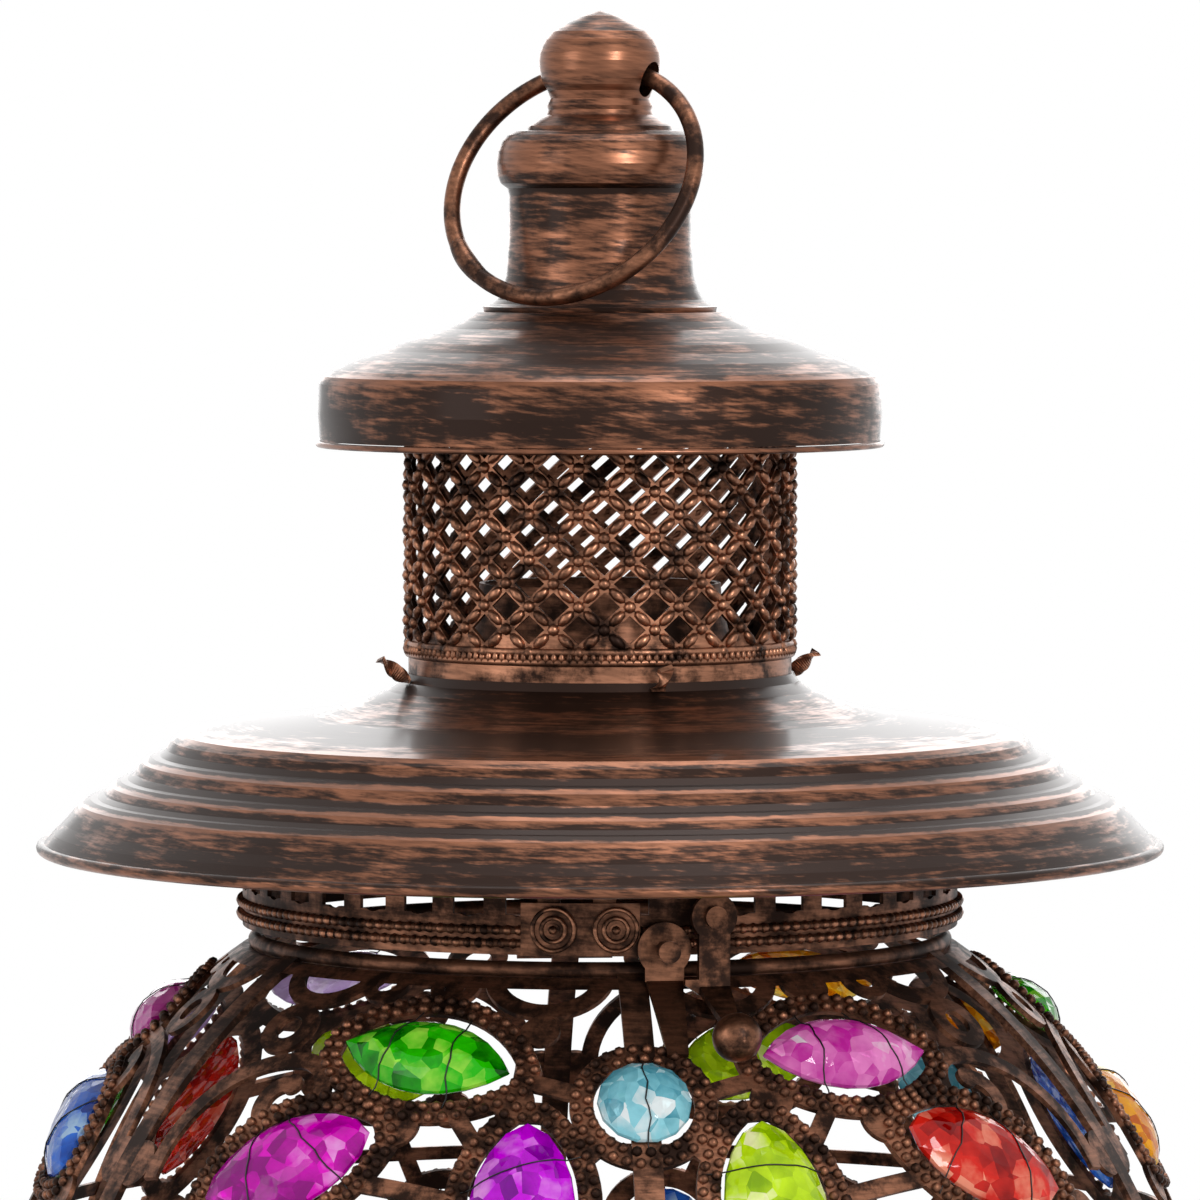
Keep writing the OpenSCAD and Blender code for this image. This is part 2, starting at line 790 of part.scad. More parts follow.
// A plate on the collar with two rosettes of rings
module latch_plate() {
    plate_turn = -17;
    plate_angle = 18;
    plate_t = 0.6;
    plate_h = 9;
    rosette_turns = [-12, -2.6];
    rosette_rs = [4.1, 2.5, 1.1];
    rosette_t = 0.5;
    color("peru") {
        translate([0, 0, collar_z])
            rotate([0, 0, plate_turn - 90])
            rotate_extrude(angle = plate_angle, $fn = 360)
            translate([collar_r + bead_r + solder_gap, 0])
            square([plate_t, plate_h]);
        for (turn = rosette_turns)
            rotate([0, 0, turn])
                translate([0, -collar_r - bead_r - plate_t / 2, collar_z + plate_h / 2])
                rotate([90, 0, 0])
                rotate_extrude()
                union() {
                    for (k = [0 : 2]) square([rosette_rs[k], (k + 2) * rosette_t / 2]);
                }
    }
}

module at_turn(turn, r, lift) {
    rotate([0, 0, turn])
        translate([0, -r, ring_z + lift])
        rotate([90, 0, 0])
        children();
}

module hook_rivet() {
    inner_r = collar_r - strip_t - rivet_seat - rivet_head_h;
    head_r = hook_face_r + hook_t + run_gap;
    color("silver") {
        at_turn(hook_turn, inner_r, hook_lift) {
            cylinder(r = hook_rivet_r, h = head_r + rivet_head_h - inner_r);
            cylinder(r = rivet_boss_r, h = rivet_head_h);
        }
        at_turn(hook_turn, collar_r + solder_gap, hook_lift)
            cylinder(r = rivet_boss_r, h = hook_face_r - run_gap - collar_r - solder_gap);
        at_turn(hook_turn, head_r, hook_lift)
            cylinder(r = rivet_boss_r, h = rivet_head_h);
    }
}

module throat() {
    outline = [
        for (p = throat_shares)
            [throat_r + p[0] * throat_flange_w, spun_t + p[1] * (throat_h - spun_t)]
    ];
    color("sienna")
        translate([0, 0, neck_z])
        rotate_extrude()
        polygon(sheet_outline(outline, spun_t));
}

// Lattice gallery

module gallery() {
    small_line = scaled(small_roof_shares, small_roof_r, small_roof_h);
    top = small_rim_z + under(small_line, gallery_r, spun_t) - solder_gap;
    lattice_z = gallery_band_h + gallery_bead_h + lattice_gap;
    hole = 1 - strand_w / 2 * norm([lattice_pitch / 2, lattice_step])
        / (lattice_pitch / 2 * lattice_step);
    // The drum's seam runs through the open part of the lattice
    seam_share = 0.25;
    half_w = hole * lattice_pitch / 2;
    half_h = hole * lattice_step;
    color("peru")
        translate([0, 0, neck_z])
        difference() {
            rotate_extrude() {
                translate([gallery_r - strip_t, 0]) square([strip_t, top - neck_z]);
                translate([gallery_r, gallery_band_h + bead_r]) circle(bead_r);
                translate([gallery_r, gallery_band_h + gallery_bead_h - bead_r / 2]) circle(bead_r);
            }
            for (row = [0 : lattice_rows - 1])
                for (k = [0 : lattice_columns - 1])
                    rotate([0, 0, (k + (row % 2) / 2 + seam_share) * 360 / lattice_columns])
                        translate([
                            0, strip_t + over - gallery_r,
                            lattice_z + lattice_step / 2 + row * lattice_step
                        ])
                        rotate([90, 0, 0])
                        linear_extrude(strip_t + 3 * over)
                        polygon([[half_w, 0], [0, half_h], [-half_w, 0], [0, -half_h]]);
        }
}

module gallery_tabs() {
    color("sienna")
        for (k = [0 : tab_count - 1])
            rotate([0, 0, tab_turn + k * 360 / tab_count])
                translate([0, -gallery_r - tab_w / 2, neck_z - tab_drop])
                rotate([tab_lean, 0, 0]) {
                    // A strap, its neck where it is twisted, and its end turned edge on
                    translate([-tab_w / 2, -tab_t / 2, 0]) cube([tab_w, tab_t, tab_l / 2]);
                    cylinder(r = tab_t * tab_core_share, h = tab_l);
                    translate([-tab_t / 2, -tab_w / 2, tab_l / 2]) cube([tab_t, tab_w, tab_l / 2]);
                }
}

module small_roof() {
    color("peru")
        translate([0, 0, small_rim_z])
        rotate_extrude() {
            polygon(sheet_outline(scaled(small_roof_shares, small_roof_r, small_roof_h), spun_t));
            translate([small_roof_r - small_roll_r, small_roll_r]) circle(small_roll_r);
        }
}

module chimney_cap() {
    line = concat(
        scaled(cap_shares, cap_r, cap_h),
        [[cap_r * cap_flange_share, spun_t]]
    );
    color("peru")
        translate([0, 0, cap_z])
        rotate_extrude()
        polygon(sheet_outline(line, spun_t));
}

module finial() {
    color("chocolate")
        translate([0, 0, cap_top_z])
        difference() {
            rotate_extrude() polygon(scaled(finial_shares, finial_r, finial_h));
            translate([0, 0, hollow_lift_share * finial_h]) sphere(hollow_share * finial_r);
            translate([0, 0, hole_lift_share * finial_h])
                rotate([0, 0, -bail_turn])
                rotate([0, 90, 0])
                cylinder(r = bail_hole_r, h = 4 * finial_r, center = true);
            translate([0, 0, -over]) cylinder(r = screw_r + solder_gap, h = finial_h / 4 + over);
        }
}

module finial_screw() {
    color("silver")
        translate([0, 0, cap_top_z - spun_t]) {
            cylinder(r = screw_r, h = spun_t + screw_reach);
            translate([0, 0, -screw_head_h]) cylinder(r = screw_head_r, h = screw_head_h);
        }
}

// Latch

// Place of the peg in the hook's own plane, as [right, up] from the rivet, while the hook hangs
function peg_offset() = [
    (hook_face_r + hook_t / 2) * tan(keeper_turn - hook_turn),
    keeper_lift - hook_lift
];

// The same place once the hook is turned in and the peg lies in the corner over the beak
function latched_place() =
    let (across = hook_w / 2 + peg_r + latch_gap)
    [-across, -sqrt(pow(norm(peg_offset()), 2) - pow(across, 2))];

function beak_top() = latched_place()[1] - peg_r - latch_gap;

module hook_plate_outline() {
    top = beak_top();
    tip = latched_place()[0] - beak_reach;
    difference() {
        union() {
            circle(hook_boss_r);
            translate([-hook_w / 2, top - beak_w]) square([hook_w, beak_w - top]);
            // The beak's sloped underside slides off the peg when the roof comes down
            polygon([
                [0, top], [tip, top], [tip, top - beak_tip_h],
                [-hook_w / 2, top - beak_w], [0, top - beak_w]
            ]);
        }
        circle(hook_rivet_r + run_gap);
    }
}

// Lower end of the hook plate and place of the knob, as [outwards, up] from the rivet
function tail_root() = [hook_t / 2, beak_top() - beak_w * tail_share];
function knob_place() = [knob_r - hook_face_r, -knob_drop - hook_lift];

module latch_hook() {
    a = tail_root();
    b = knob_place();
    reach = norm(b - a) - knob_d / 2;
    slope = atan2(b[0] - a[0], a[1] - b[1]);
    color("chocolate")
        at_turn(hook_turn, hook_face_r, hook_lift) {
            linear_extrude(hook_t) hook_plate_outline();
            translate([0, a[1], a[0]])
                rotate([90 - slope, 0, 0])
                rotate([90, 0, 0])
                translate([0, 0, -hook_t / 2])
                linear_extrude(hook_t)
                polygon([
                    [-hook_w / 2, 0], [hook_w / 2, 0],
                    [tail_tip_w / 2, reach], [-tail_tip_w / 2, reach]
                ]);
        }
}

module hook_knob() {
    b = knob_place();
    color("chocolate")
        at_turn(hook_turn, hook_face_r, hook_lift)
        translate([0, b[1], b[0]])
        sphere(knob_d / 2);
}

module keeper_tongue() {
    taper = keeper_l * 2 / 3;
    color("chocolate")
        difference() {
            union() {
                at_turn(keeper_turn, keeper_face_r, keeper_lift)
                    linear_extrude(keeper_t)
                    union() {
                        circle(keeper_head_r);
                        translate([-keeper_top_w / 2, -keeper_lift - keeper_lap])
                            square([keeper_top_w, keeper_lift + keeper_lap]);
                    }
                intersection() {
                    meridian_band(
                        keeper_turn, keeper_top_fall, keeper_low_fall,
                        globe_r + leaf_seat, keeper_t, keeper_top_w
                    );
                    on_globe(keeper_turn, (keeper_top_fall + keeper_low_fall) / 2, globe_r - over)
                        linear_extrude(4 * over)
                        polygon([
                            [-keeper_top_w / 2, taper], [keeper_top_w / 2, taper],
                            [keeper_tip_w / 2, -taper], [-keeper_tip_w / 2, -taper]
                        ]);
                }
            }
            at_turn(keeper_turn, keeper_face_r - over, keeper_lift)
                cylinder(r = peg_r + solder_gap, h = keeper_t + 2 * over);
        }
}

module keeper_peg() {
    peg_l = (hook_face_r + hook_t) / cos(hook_turn - keeper_turn) - keeper_face_r + peg_play;
    color("silver")
        at_turn(keeper_turn, keeper_face_r, keeper_lift) {
            cylinder(r = peg_r, h = peg_l);
            translate([0, 0, peg_l]) cylinder(r = peg_head_r, h = peg_head_h);
        }
}

// Hinge

module knuckle(from, to, bore_r) {
    translate([from, hinge_y, hinge_z])
        rotate([0, 90, 0])
        difference() {
            cylinder(r = knuckle_r, h = to - from);
            translate([0, 0, -over]) cylinder(r = bore_r, h = to - from + 2 * over);
        }
}

module hinge_leaf_globe() {
    inner = roof_knuckle_l / 2 + knuckle_gap;
    // The legs run from the knuckles down onto the globe
    leg_z = globe_z + sqrt(pow(globe_r, 2) - pow(hinge_y + leaf_t, 2));
    leg_top = hinge_z - pin_r - leg_gap;
    color("chocolate") {
        meridian_band(180, leaf_top_fall, leaf_low_fall, globe_r + leaf_seat, leaf_t, hinge_l);
        for (side = [-1, 1]) {
            a = side > 0 ? inner : -hinge_l / 2;
            b = side > 0 ? hinge_l / 2 : -inner;
            knuckle(a, b, pin_r + solder_gap);
            difference() {
                translate([a, hinge_y - leaf_t, leg_z]) cube([b - a, 2 * leaf_t, leg_top - leg_z]);
                translate([0, 0, globe_z]) sphere(globe_r + leaf_seat);
            }
        }
    }
}

module hinge_leaf_roof() {
    plate_y = collar_r + bead_r + plate_gap;
    color("chocolate") {
        knuckle(-roof_knuckle_l / 2, roof_knuckle_l / 2, pin_r + run_gap);
        translate([-roof_knuckle_l / 2, plate_y, hinge_z - knuckle_r / 2])
            cube([roof_knuckle_l, hinge_y - pin_r - leg_gap - plate_y, knuckle_r]);
        translate([-hinge_l / 2, plate_y, hinge_z + knuckle_r / 2 - leaf_t])
            cube([hinge_l, leaf_t, leaf_h]);
    }
}

module hinge_pin() {
    color("silver")
        translate([-hinge_l / 2, hinge_y, hinge_z])
        rotate([0, 90, 0]) {
            cylinder(r = pin_r, h = hinge_l);
            translate([0, 0, hinge_l]) cylinder(r = pin_r * pin_head_share, h = pin_r);
            translate([0, 0, -pin_r]) cylinder(r = pin_r * pin_head_share, h = pin_r);
        }
}

// Hanging ring

module bail_ring() {
    color("chocolate")
        translate([0, 0, bail_z])
        rotate([0, 0, -bail_turn])
        rotate([90 - bail_lean, 0, 0])
        translate([0, -bail_drop, 0])
        rotate_extrude()
        translate([bail_r, 0])
        circle(bail_wire_r);
}

foot();
floor_pan();
base_strip();
rim_ring(lower_ring_r, lower_ring_z);  // lower_ring
rim_ring(top_ring_r, ring_z);  // top_ring
rib(0);  // rib_1
rib(1);  // rib_2
rib(2);  // rib_3
rib(3);  // rib_4
rib(4);  // rib_5
rib(5);  // rib_6
filigree(0);  // filigree_1
filigree(1);  // filigree_2
filigree(2);  // filigree_3
filigree(3);  // filigree_4
filigree(4);  // filigree_5
filigree(5);  // filigree_6
stones(GREEN);  // stones_green
stones(PINK);  // stones_pink
stones(MAGENTA);  // stones_magenta
stones(RED);  // stones_red
stones(PURPLE);  // stones_purple
stones(LIME);  // stones_lime
stones(AQUA);  // stones_aqua
stones(BLUE);  // stones_blue
stones(LILAC);  // stones_lilac
stones(AMBER);  // stones_amber
candle_cup();
cup_rivet();
keeper_tongue();
keeper_peg();
hinge_leaf_globe();
hinge_pin();
big_roof();
collar();
latch_plate();
hook_rivet();
hinge_leaf_roof();
throat();
gallery();
gallery_tabs();
small_roof();
chimney_cap();
finial();
finial_screw();
latch_hook();
hook_knob();
bail_ring();
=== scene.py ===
"""Looks of the jewelled filigree lantern: cut stones in beaded frames with wires across them, a lattice of
grains, rosettes, twisted tabs and an antique copper finish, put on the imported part. Lengths are in
millimetres and heights run up from the foot's underside; add_piece turns them into metres."""
import json
import math

import bpy
import numpy as np
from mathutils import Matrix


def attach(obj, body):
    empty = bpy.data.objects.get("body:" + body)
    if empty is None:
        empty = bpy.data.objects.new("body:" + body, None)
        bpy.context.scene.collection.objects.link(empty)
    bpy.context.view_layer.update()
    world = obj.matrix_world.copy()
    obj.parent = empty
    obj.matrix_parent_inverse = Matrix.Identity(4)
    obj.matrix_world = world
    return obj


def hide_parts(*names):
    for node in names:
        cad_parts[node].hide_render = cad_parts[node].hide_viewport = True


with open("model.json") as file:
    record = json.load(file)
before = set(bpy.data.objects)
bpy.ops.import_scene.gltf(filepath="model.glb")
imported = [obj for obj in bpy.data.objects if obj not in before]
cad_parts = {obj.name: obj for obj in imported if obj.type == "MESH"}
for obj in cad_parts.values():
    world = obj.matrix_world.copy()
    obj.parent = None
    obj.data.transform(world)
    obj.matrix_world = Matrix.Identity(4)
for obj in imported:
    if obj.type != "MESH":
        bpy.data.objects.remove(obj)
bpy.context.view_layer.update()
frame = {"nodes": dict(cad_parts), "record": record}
MM = 0.001
rng = np.random.default_rng(7)

# Sizes of the part, as its own source has them
GLOBE_R = 112.0
RIB_MID_R = 111.4
LOWER_RING_R = 48
TOP_RING_R = 61
LOWER_RING_Z = 35.0
BASE_STRIP_Z = 20
GLOBE_Z = LOWER_RING_Z + math.sqrt(RIB_MID_R ** 2 - LOWER_RING_R ** 2)
RING_Z = GLOBE_Z + math.sqrt(RIB_MID_R ** 2 - TOP_RING_R ** 2)
COLLAR_Z = RING_Z + 2.8
ROOF_Z = RING_Z + 14.6
NECK_Z = ROOF_Z + 32.7
SMALL_ROOF_Z = NECK_Z + 40
CAP_Z = SMALL_ROOF_Z + 23.9
CAP_TOP_Z = CAP_Z + 32.1
GALLERY_R = 34.0
BAIL_Z = CAP_TOP_Z + 0.422 * 21.1
BAIL_R = 23.3
BAIL_WIRE_R = 1.5
BAIL_HOLE_R = 10.3
BAIL_LEAN = math.radians(30)
BAIL_TURN = math.radians(32)
GLOBE_MIDDLE = np.array([0, 0, GLOBE_Z])

# Stones and their frames: half length and half width by shape
NAVETTE, OVAL, ROUND = 0, 1, 2
STONE_HALVES = {NAVETTE: (16.0, 7.5), OVAL: (16.0, 9.0), ROUND: (8.0, 8.0)}
OPENING_HALVES = {NAVETTE: (16.5, 9.5), OVAL: (16.5, 9.5), ROUND: (8.5, 8.5)}
FRAME_W = 4.0
STONE_H = 4.25
PANEL_SEAT_R = GLOBE_R - 1.0
MEDAL_SEAT_R = GLOBE_R + 0.02

# Panels between the ribs. A row of a panel: share of its width, fall from the globe's top, lean, shape
RIB_TURNS = [-64, 0, 64, 122, 180, 238]
UPPER_LEANS = [-9, 3, 0, 0, 0, 0]
ROWS = [
    (0.42, 44.5, 0, NAVETTE), (0.617, 56.4, 28, OVAL), (0.2, 59.6, 90, OVAL),
    (0.2, 75.8, 0, ROUND), (0.5, 75.8, 0, ROUND), (0.8, 75.8, 0, ROUND),
    (0.2, 90, 90, OVAL), (0.5, 90, 90, NAVETTE), (0.8, 90, 90, OVAL),
    (0.2, 104.2, 0, ROUND), (0.5, 104.2, 0, ROUND), (0.8, 104.2, 0, ROUND),
    (0.22, 120.4, 90, OVAL), (0.66, 122.5, -24, OVAL), (0.44, 136, 0, NAVETTE),
]
COLOURS = ["green", "pink", "magenta", "red", "purple", "lime", "aqua", "blue", "lilac", "amber"]
GREEN, PINK, MAGENTA, RED, PURPLE, LIME, AQUA, BLUE, LILAC, AMBER = range(10)
PANEL_COLOURS = [
    [GREEN, MAGENTA, PURPLE, AMBER, AQUA, LIME, RED, BLUE, GREEN, LILAC, GREEN, AMBER, LIME, RED, PINK],
    [PINK, RED, LIME, AQUA, PURPLE, GREEN, AMBER, MAGENTA, BLUE, GREEN, PURPLE, AQUA, RED, BLUE, GREEN],
    [GREEN, AMBER, BLUE, RED, LIME, PINK, PURPLE, GREEN, AQUA, MAGENTA, LIME, RED, AQUA, LILAC, BLUE],
    [AMBER, LIME, AQUA, GREEN, AMBER, BLUE, MAGENTA, LIME, RED, BLUE, PINK, GREEN, PURPLE, AMBER, RED],
    [LILAC, LIME, RED, PURPLE, BLUE, AQUA, LIME, PINK, GREEN, RED, AQUA, PURPLE, GREEN, PINK, LIME],
    [PINK, BLUE, GREEN, LIME, RED, AMBER, AQUA, PURPLE, LILAC, AMBER, GREEN, MAGENTA, BLUE, LIME, AQUA],
]
# Medallions on the ribs: the rib and the colour of its stones, and their falls
MEDALS = [(1, AQUA), (3, AMBER), (5, LILAC)]
MEDAL_FALLS = [49.3, 134]

# Rings of a cut stone: scale of the outline, share of the height, turned by half a step or not
CUTS = [(0.97, 0.0, 0), (1.0, 0.12, 0), (0.985, 0.26, 0), (0.80, 0.62, 1), (0.60, 0.86, 0), (0.36, 1.0, 1)]
# The same rings from the table outward, as the wires over the stone read them
WIRE_SHARES = (0.36, 0.60, 0.80, 0.985, 1.02, 1.1)
WIRE_LIFTS = (1.0, 0.86, 0.62, 0.26, 0.12, 0.0)
WIRE_R = 0.14
WIRE_GAP = 0.16

# Beads of the frames: how far out each row stands from the opening, and the pitch of its beads
BEAD_R = 0.95
BEAD_SEAT = 0.25
PANEL_BEADS = [(0.9, 2.35), (FRAME_W - 0.95, 2.4)]
MEDAL_BEADS = [(0.9, 2.35), (FRAME_W - 0.95, 2.35)]
# Bead rows of the collar and the base strip: height over the strip's lower edge and first turn
STRIP_ROWS = [(1.96, 0.0), (4.2, 1.0)]

# The lattice of the gallery: degrees from column to column, and its rows of holes
COLUMN = 15.0
COLUMNS = 24
ROW_H = 4
HOLE_ROWS = 10
FIRST_HOLE_Z = NECK_Z + 9.2
LAST_GRAIN_Z = NECK_Z + 41
STRAND_RUN = 4.45
KNOB = (1.15, 1.15, 1.15)
STRAND = (1.9, 0.98, 1.05)


# Shader nodes

def feed(tree, node, inputs):
    """Sets each named input of a node to a value, or links it to the output that is given."""
    for key, value in inputs.items():
        if isinstance(value, bpy.types.NodeSocket):
            tree.links.new(value, node.inputs[key])
        else:
            node.inputs[key].default_value = value
    return node


def make(tree, kind, inputs, **settings):
    """A shader node with its own settings, its inputs fed."""
    node = tree.nodes.new("ShaderNode" + kind)
    for key, value in settings.items():
        setattr(node, key, value)
    return feed(tree, node, inputs)


def calc(tree, operation, *terms, **settings):
    """What a Math node gives for its terms."""
    return make(tree, "Math", dict(enumerate(terms)), operation=operation, **settings).outputs[0]


def span(tree, value, low, high, start=0.0, end=1.0, curve="LINEAR"):
    """The value carried from low ... high to start ... end, held inside them."""
    inputs = {"Value": value, "From Min": low, "From Max": high, "To Min": start, "To Max": end}
    return make(tree, "MapRange", inputs, interpolation_type=curve).outputs["Result"]


def mix(tree, kind, factor, a, b):
    """a where the factor is 0, b where it is 1."""
    return make(tree, "Mix", {"Factor": factor, "A": a, "B": b}, data_type=kind).outputs["Result"]


def object_place(tree):
    return make(tree, "TexCoord", {}).outputs["Object"]


def noise(tree, inputs, **settings):
    return make(tree, "TexNoise", inputs, **settings).outputs["Fac"]


def new_group(name, inputs, outputs):
    """A node group with inputs {name: default} and outputs {name: socket kind}: the group, what its inputs
    give, and the node that takes its results."""
    group = bpy.data.node_groups.new(name, "ShaderNodeTree")
    for key, value in inputs.items():
        kind = "NodeSocketColor" if isinstance(value, tuple) else "NodeSocketFloat"
        group.interface.new_socket(name=key, in_out="INPUT", socket_type=kind).default_value = value
    for key, kind in outputs.items():
        group.interface.new_socket(name=key, in_out="OUTPUT", socket_type=kind)
    return group, group.nodes.new("NodeGroupInput").outputs, group.nodes.new("NodeGroupOutput")


# Groups of the finishes

# Streaks per metre round the axis and across it, detail, roughness and slant of their noise
LEVEL_STREAKS = (110.0, 1300.0, 3.0, 0.62, 0.0)
SLANTED_STREAKS = (120.0, 1100.0, 3.0, 0.62, 0.24)
BROAD_STREAKS = (55.0, 300.0, 5.0, 0.66, 0.08)


def streaks(tree, place, around, across, detail, rough, slant):
    """Streaks round the axis: 4D noise at (x a, y a, (z + s x) c) and w = r c, so that they are 1/a long and
    1/c wide on walls, slopes and lands alike."""
    x, y, z, r = place
    vector = make(tree, "CombineXYZ", {
        0: calc(tree, "MULTIPLY", x, around),
        1: calc(tree, "MULTIPLY", y, around),
        2: calc(tree, "MULTIPLY", calc(tree, "MULTIPLY_ADD", x, slant, z), across),
    })
    inputs = {"Vector": vector.outputs[0], "W": calc(tree, "MULTIPLY", r, across), "Scale": 1.0,
              "Detail": detail, "Roughness": rough}
    return noise(tree, inputs, noise_dimensions="4D")


SLANTED_SHARE = 0.45
BROAD_SHARE = 0.42
TONE_SPAN = (0.42, 0.62)
DARK_ROUGHNESS = 0.5
RUBBED_ROUGHNESS = 0.32


def build_patina():
    """Copper rubbed through a dark patina. Its mask is smoothstep(low, high, mix of patches and streaks),
    and the copper runs from a duller to a brighter tone by the finer streaks."""
    group, given, result = new_group("rubbed_patina", {
        "High Color": (0.36, 0.17, 0.1, 1), "Mid Color": (0.16, 0.07, 0.04, 1),
        "Dark Color": (0.03, 0.015, 0.01, 1), "Low": 0.4, "High": 0.62, "Streak": 0.6, "Patch Scale": 90.0,
        "Bias": 0.0,
    }, {"Color": "NodeSocketColor", "Roughness": "NodeSocketFloat", "Height": "NodeSocketFloat"})
    x, y, z = make(group, "SeparateXYZ", {0: object_place(group)}).outputs
    flat = make(group, "CombineXYZ", {0: x, 1: y}).outputs[0]
    r = make(group, "VectorMath", {0: flat}, operation="LENGTH").outputs["Value"]
    place = (x, y, z, r)
    fine = mix(group, "FLOAT", SLANTED_SHARE, streaks(group, place, *LEVEL_STREAKS),
               streaks(group, place, *SLANTED_STREAKS))
    streak = mix(group, "FLOAT", BROAD_SHARE, fine, streaks(group, place, *BROAD_STREAKS))
    patch = noise(group, {"Vector": object_place(group), "Scale": given["Patch Scale"], "Detail": 6.0,
                          "Roughness": 0.65})
    value = mix(group, "FLOAT", given["Streak"], patch, streak)
    rubbed = span(group, calc(group, "ADD", value, given["Bias"]), given["Low"], given["High"],
                  curve="SMOOTHSTEP")
    tone = span(group, fine, *TONE_SPAN)
    rubbed_color = mix(group, "RGBA", tone, given["Mid Color"], given["High Color"])
    feed(group, result, {
        "Color": mix(group, "RGBA", rubbed, given["Dark Color"], rubbed_color),
        "Roughness": span(group, rubbed, 0.0, 1.0, DARK_ROUGHNESS, RUBBED_ROUGHNESS),
        "Height": value,
    })
    return group


CLOUD_SHARE = 0.66
DEEP_TO_BRIGHT = (0.34, 0.56)
# The pale tone is partly the glass's pale crackle and partly painted glints
BRIGHT_TO_PALE_AND_GLINT = (0.58, 0.72)


def build_crackle():
    """Pressed glass with crazed cells. Its colour runs from deep to bright to pale by cell and cloud; the
    pale tone is partly the crackle's own pale mottling and partly painted glints.
    """
    group, given, result = new_group("crackled_glass", {
        "Deep": (0.1, 0.0, 0.05, 1), "Bright": (0.8, 0.1, 0.4, 1), "Pale And Glint": (1, 0.8, 0.9, 1),
        "Cell Scale": 330.0,
    }, {"Color": "NodeSocketColor", "Height": "NodeSocketFloat"})
    place = object_place(group)
    cells = make(group, "TexVoronoi", {"Vector": place, "Scale": given["Cell Scale"]})
    shade = make(group, "SeparateColor", {0: cells.outputs["Color"]}).outputs[0]
    cloud = noise(group, {"Vector": place, "Scale": 130.0, "Detail": 4.0})
    tone = mix(group, "FLOAT", CLOUD_SHARE, shade, cloud)
    body = mix(group, "RGBA", span(group, tone, *DEEP_TO_BRIGHT), given["Deep"], given["Bright"])
    feed(group, result, {
        "Color": mix(group, "RGBA", span(group, tone, *BRIGHT_TO_PALE_AND_GLINT), body, given["Pale And Glint"]),
        "Height": cells.outputs["Distance"],
    })
    return group


def build_step_wear_and_shade(marks):
    """Bias = Amount times the sum over the marks (z0, w, d) of d max(0, 1 - |z - z0| / w), at the heights z0,
    w to
    each side: crests and grooves of the spun steps, partly rubbed wear and patina and partly painted
    highlight and painted shade, and broader bands of painted shade and painted highlight."""
    group, given, result = new_group("step_wear_and_shade", {"Amount": 1.0}, {"Bias": "NodeSocketFloat"})
    z = make(group, "SeparateXYZ", {0: object_place(group)}).outputs[2]
    total = 0.0
    for z0, w, d in marks:
        off = calc(group, "ABSOLUTE", calc(group, "SUBTRACT", z, z0 * MM))
        total = calc(group, "ADD", span(group, off, 0.0, w * MM, d, 0.0), total)
    feed(group, result, {"Bias": calc(group, "MULTIPLY", total, given["Amount"])})
    return group


# Marks over the big roof's rim, the small roof's rim and the cap's foot: height, half width, depth
# The narrow marks are the steps' crests and grooves, partly rubbed wear and patina and partly painted
# highlight and painted shade; the broad negative marks are painted shade on upright bands, skirts and necks.
ROOF_MARKS = [(24.2, 1.2, -0.12), (21.9, 0.7, 0.11), (18.4, 1.1, -0.20), (17.2, 0.7, 0.13),
              (14.2, 1.0, -0.20), (13.0, 0.7, 0.12), (10.9, 1.0, -0.20), (9.6, 0.8, 0.11), (4.8, 4.4, -0.055),
              (1.2, 1.2, 0.06), (32.0, 4.5, -0.12)]
SMALL_ROOF_MARKS = [(12.4, 0.8, 0.09), (17.2, 4.5, -0.045), (6.0, 5.5, -0.05), (0.6, 0.8, 0.08),
                    (21.5, 1.5, -0.06)]
# The broad positive cap marks are painted highlight on the cap's bulge and on the finial.
CAP_MARKS = [(21.5, 1.0, -0.12), (26.5, 4.0, 0.10), (3.0, 2.0, -0.06), (43.0, 12.0, 0.11)]
MARKED = ((ROOF_Z, ROOF_MARKS), (SMALL_ROOF_Z, SMALL_ROOF_MARKS), (CAP_Z, CAP_MARKS))
PATINA = build_patina()
CRACKLE = build_crackle()
# Wear of the spun steps with painted highlight and painted shade, as a bias of the patina's rubbing
STEP_WEAR_AND_SHADE = build_step_wear_and_shade([(foot + z, w, d) for foot, marks in MARKED for z, w, d in marks])


# Materials

DARK = (0.020, 0.0085, 0.005)
MID_SHARE = 0.55
GRAZING = (0.45, 0.95)
GRAZING_DEPTH = 0.6
TARNISH_SHARE = 0.6
TARNISH_ROUGHER = 0.12
TARNISH_SMOOTHER = 0.08


def new_material(name):
    mat = bpy.data.materials.new(name)
    mat.use_nodes = True
    return mat, mat.node_tree, mat.node_tree.nodes["Principled BSDF"]


def opaque(colour, share=1.0):
    """A share of a colour, with an alpha of 1."""
    return (*(share * c for c in colour), 1)


def bump(tree, height, strength, distance):
    inputs = {"Height": height, "Strength": strength, "Distance": distance}
    return make(tree, "Bump", inputs).outputs["Normal"]


def copper(name, high, low, top, streak, patch, steps=0.0, coat=0.06, dull=0.0):
    """high is the rubbed copper's colour, low and top the limits of the rubbing, streak the share of streaks
    against patches, patch the patches' scale, steps the amount of the step marks, which are wear of the spun
    steps with painted highlight and painted shade, dull an added roughness."""
    mat, tree, shader = new_material(name)
    looks = {"High Color": opaque(high), "Mid Color": opaque(high, MID_SHARE), "Dark Color": opaque(DARK),
             "Low": low, "High": top, "Streak": streak, "Patch Scale": patch}
    if steps:
        # The step marks: wear with painted highlight and painted shade
        looks["Bias"] = make(tree, "Group", {"Amount": steps}, node_tree=STEP_WEAR_AND_SHADE).outputs["Bias"]
    patina = make(tree, "Group", looks, node_tree=PATINA)
    feed(tree, shader, {
        "Base Color": patina.outputs["Color"],
        "Metallic": 0.88,
        "Roughness": calc(tree, "ADD", patina.outputs["Roughness"], dull),
        "Coat Weight": coat,
        "Coat IOR": 1.22,
        "Coat Roughness": 0.2,
        "Normal": bump(tree, patina.outputs["Height"], 0.12, 0.0006),
    })
    return mat


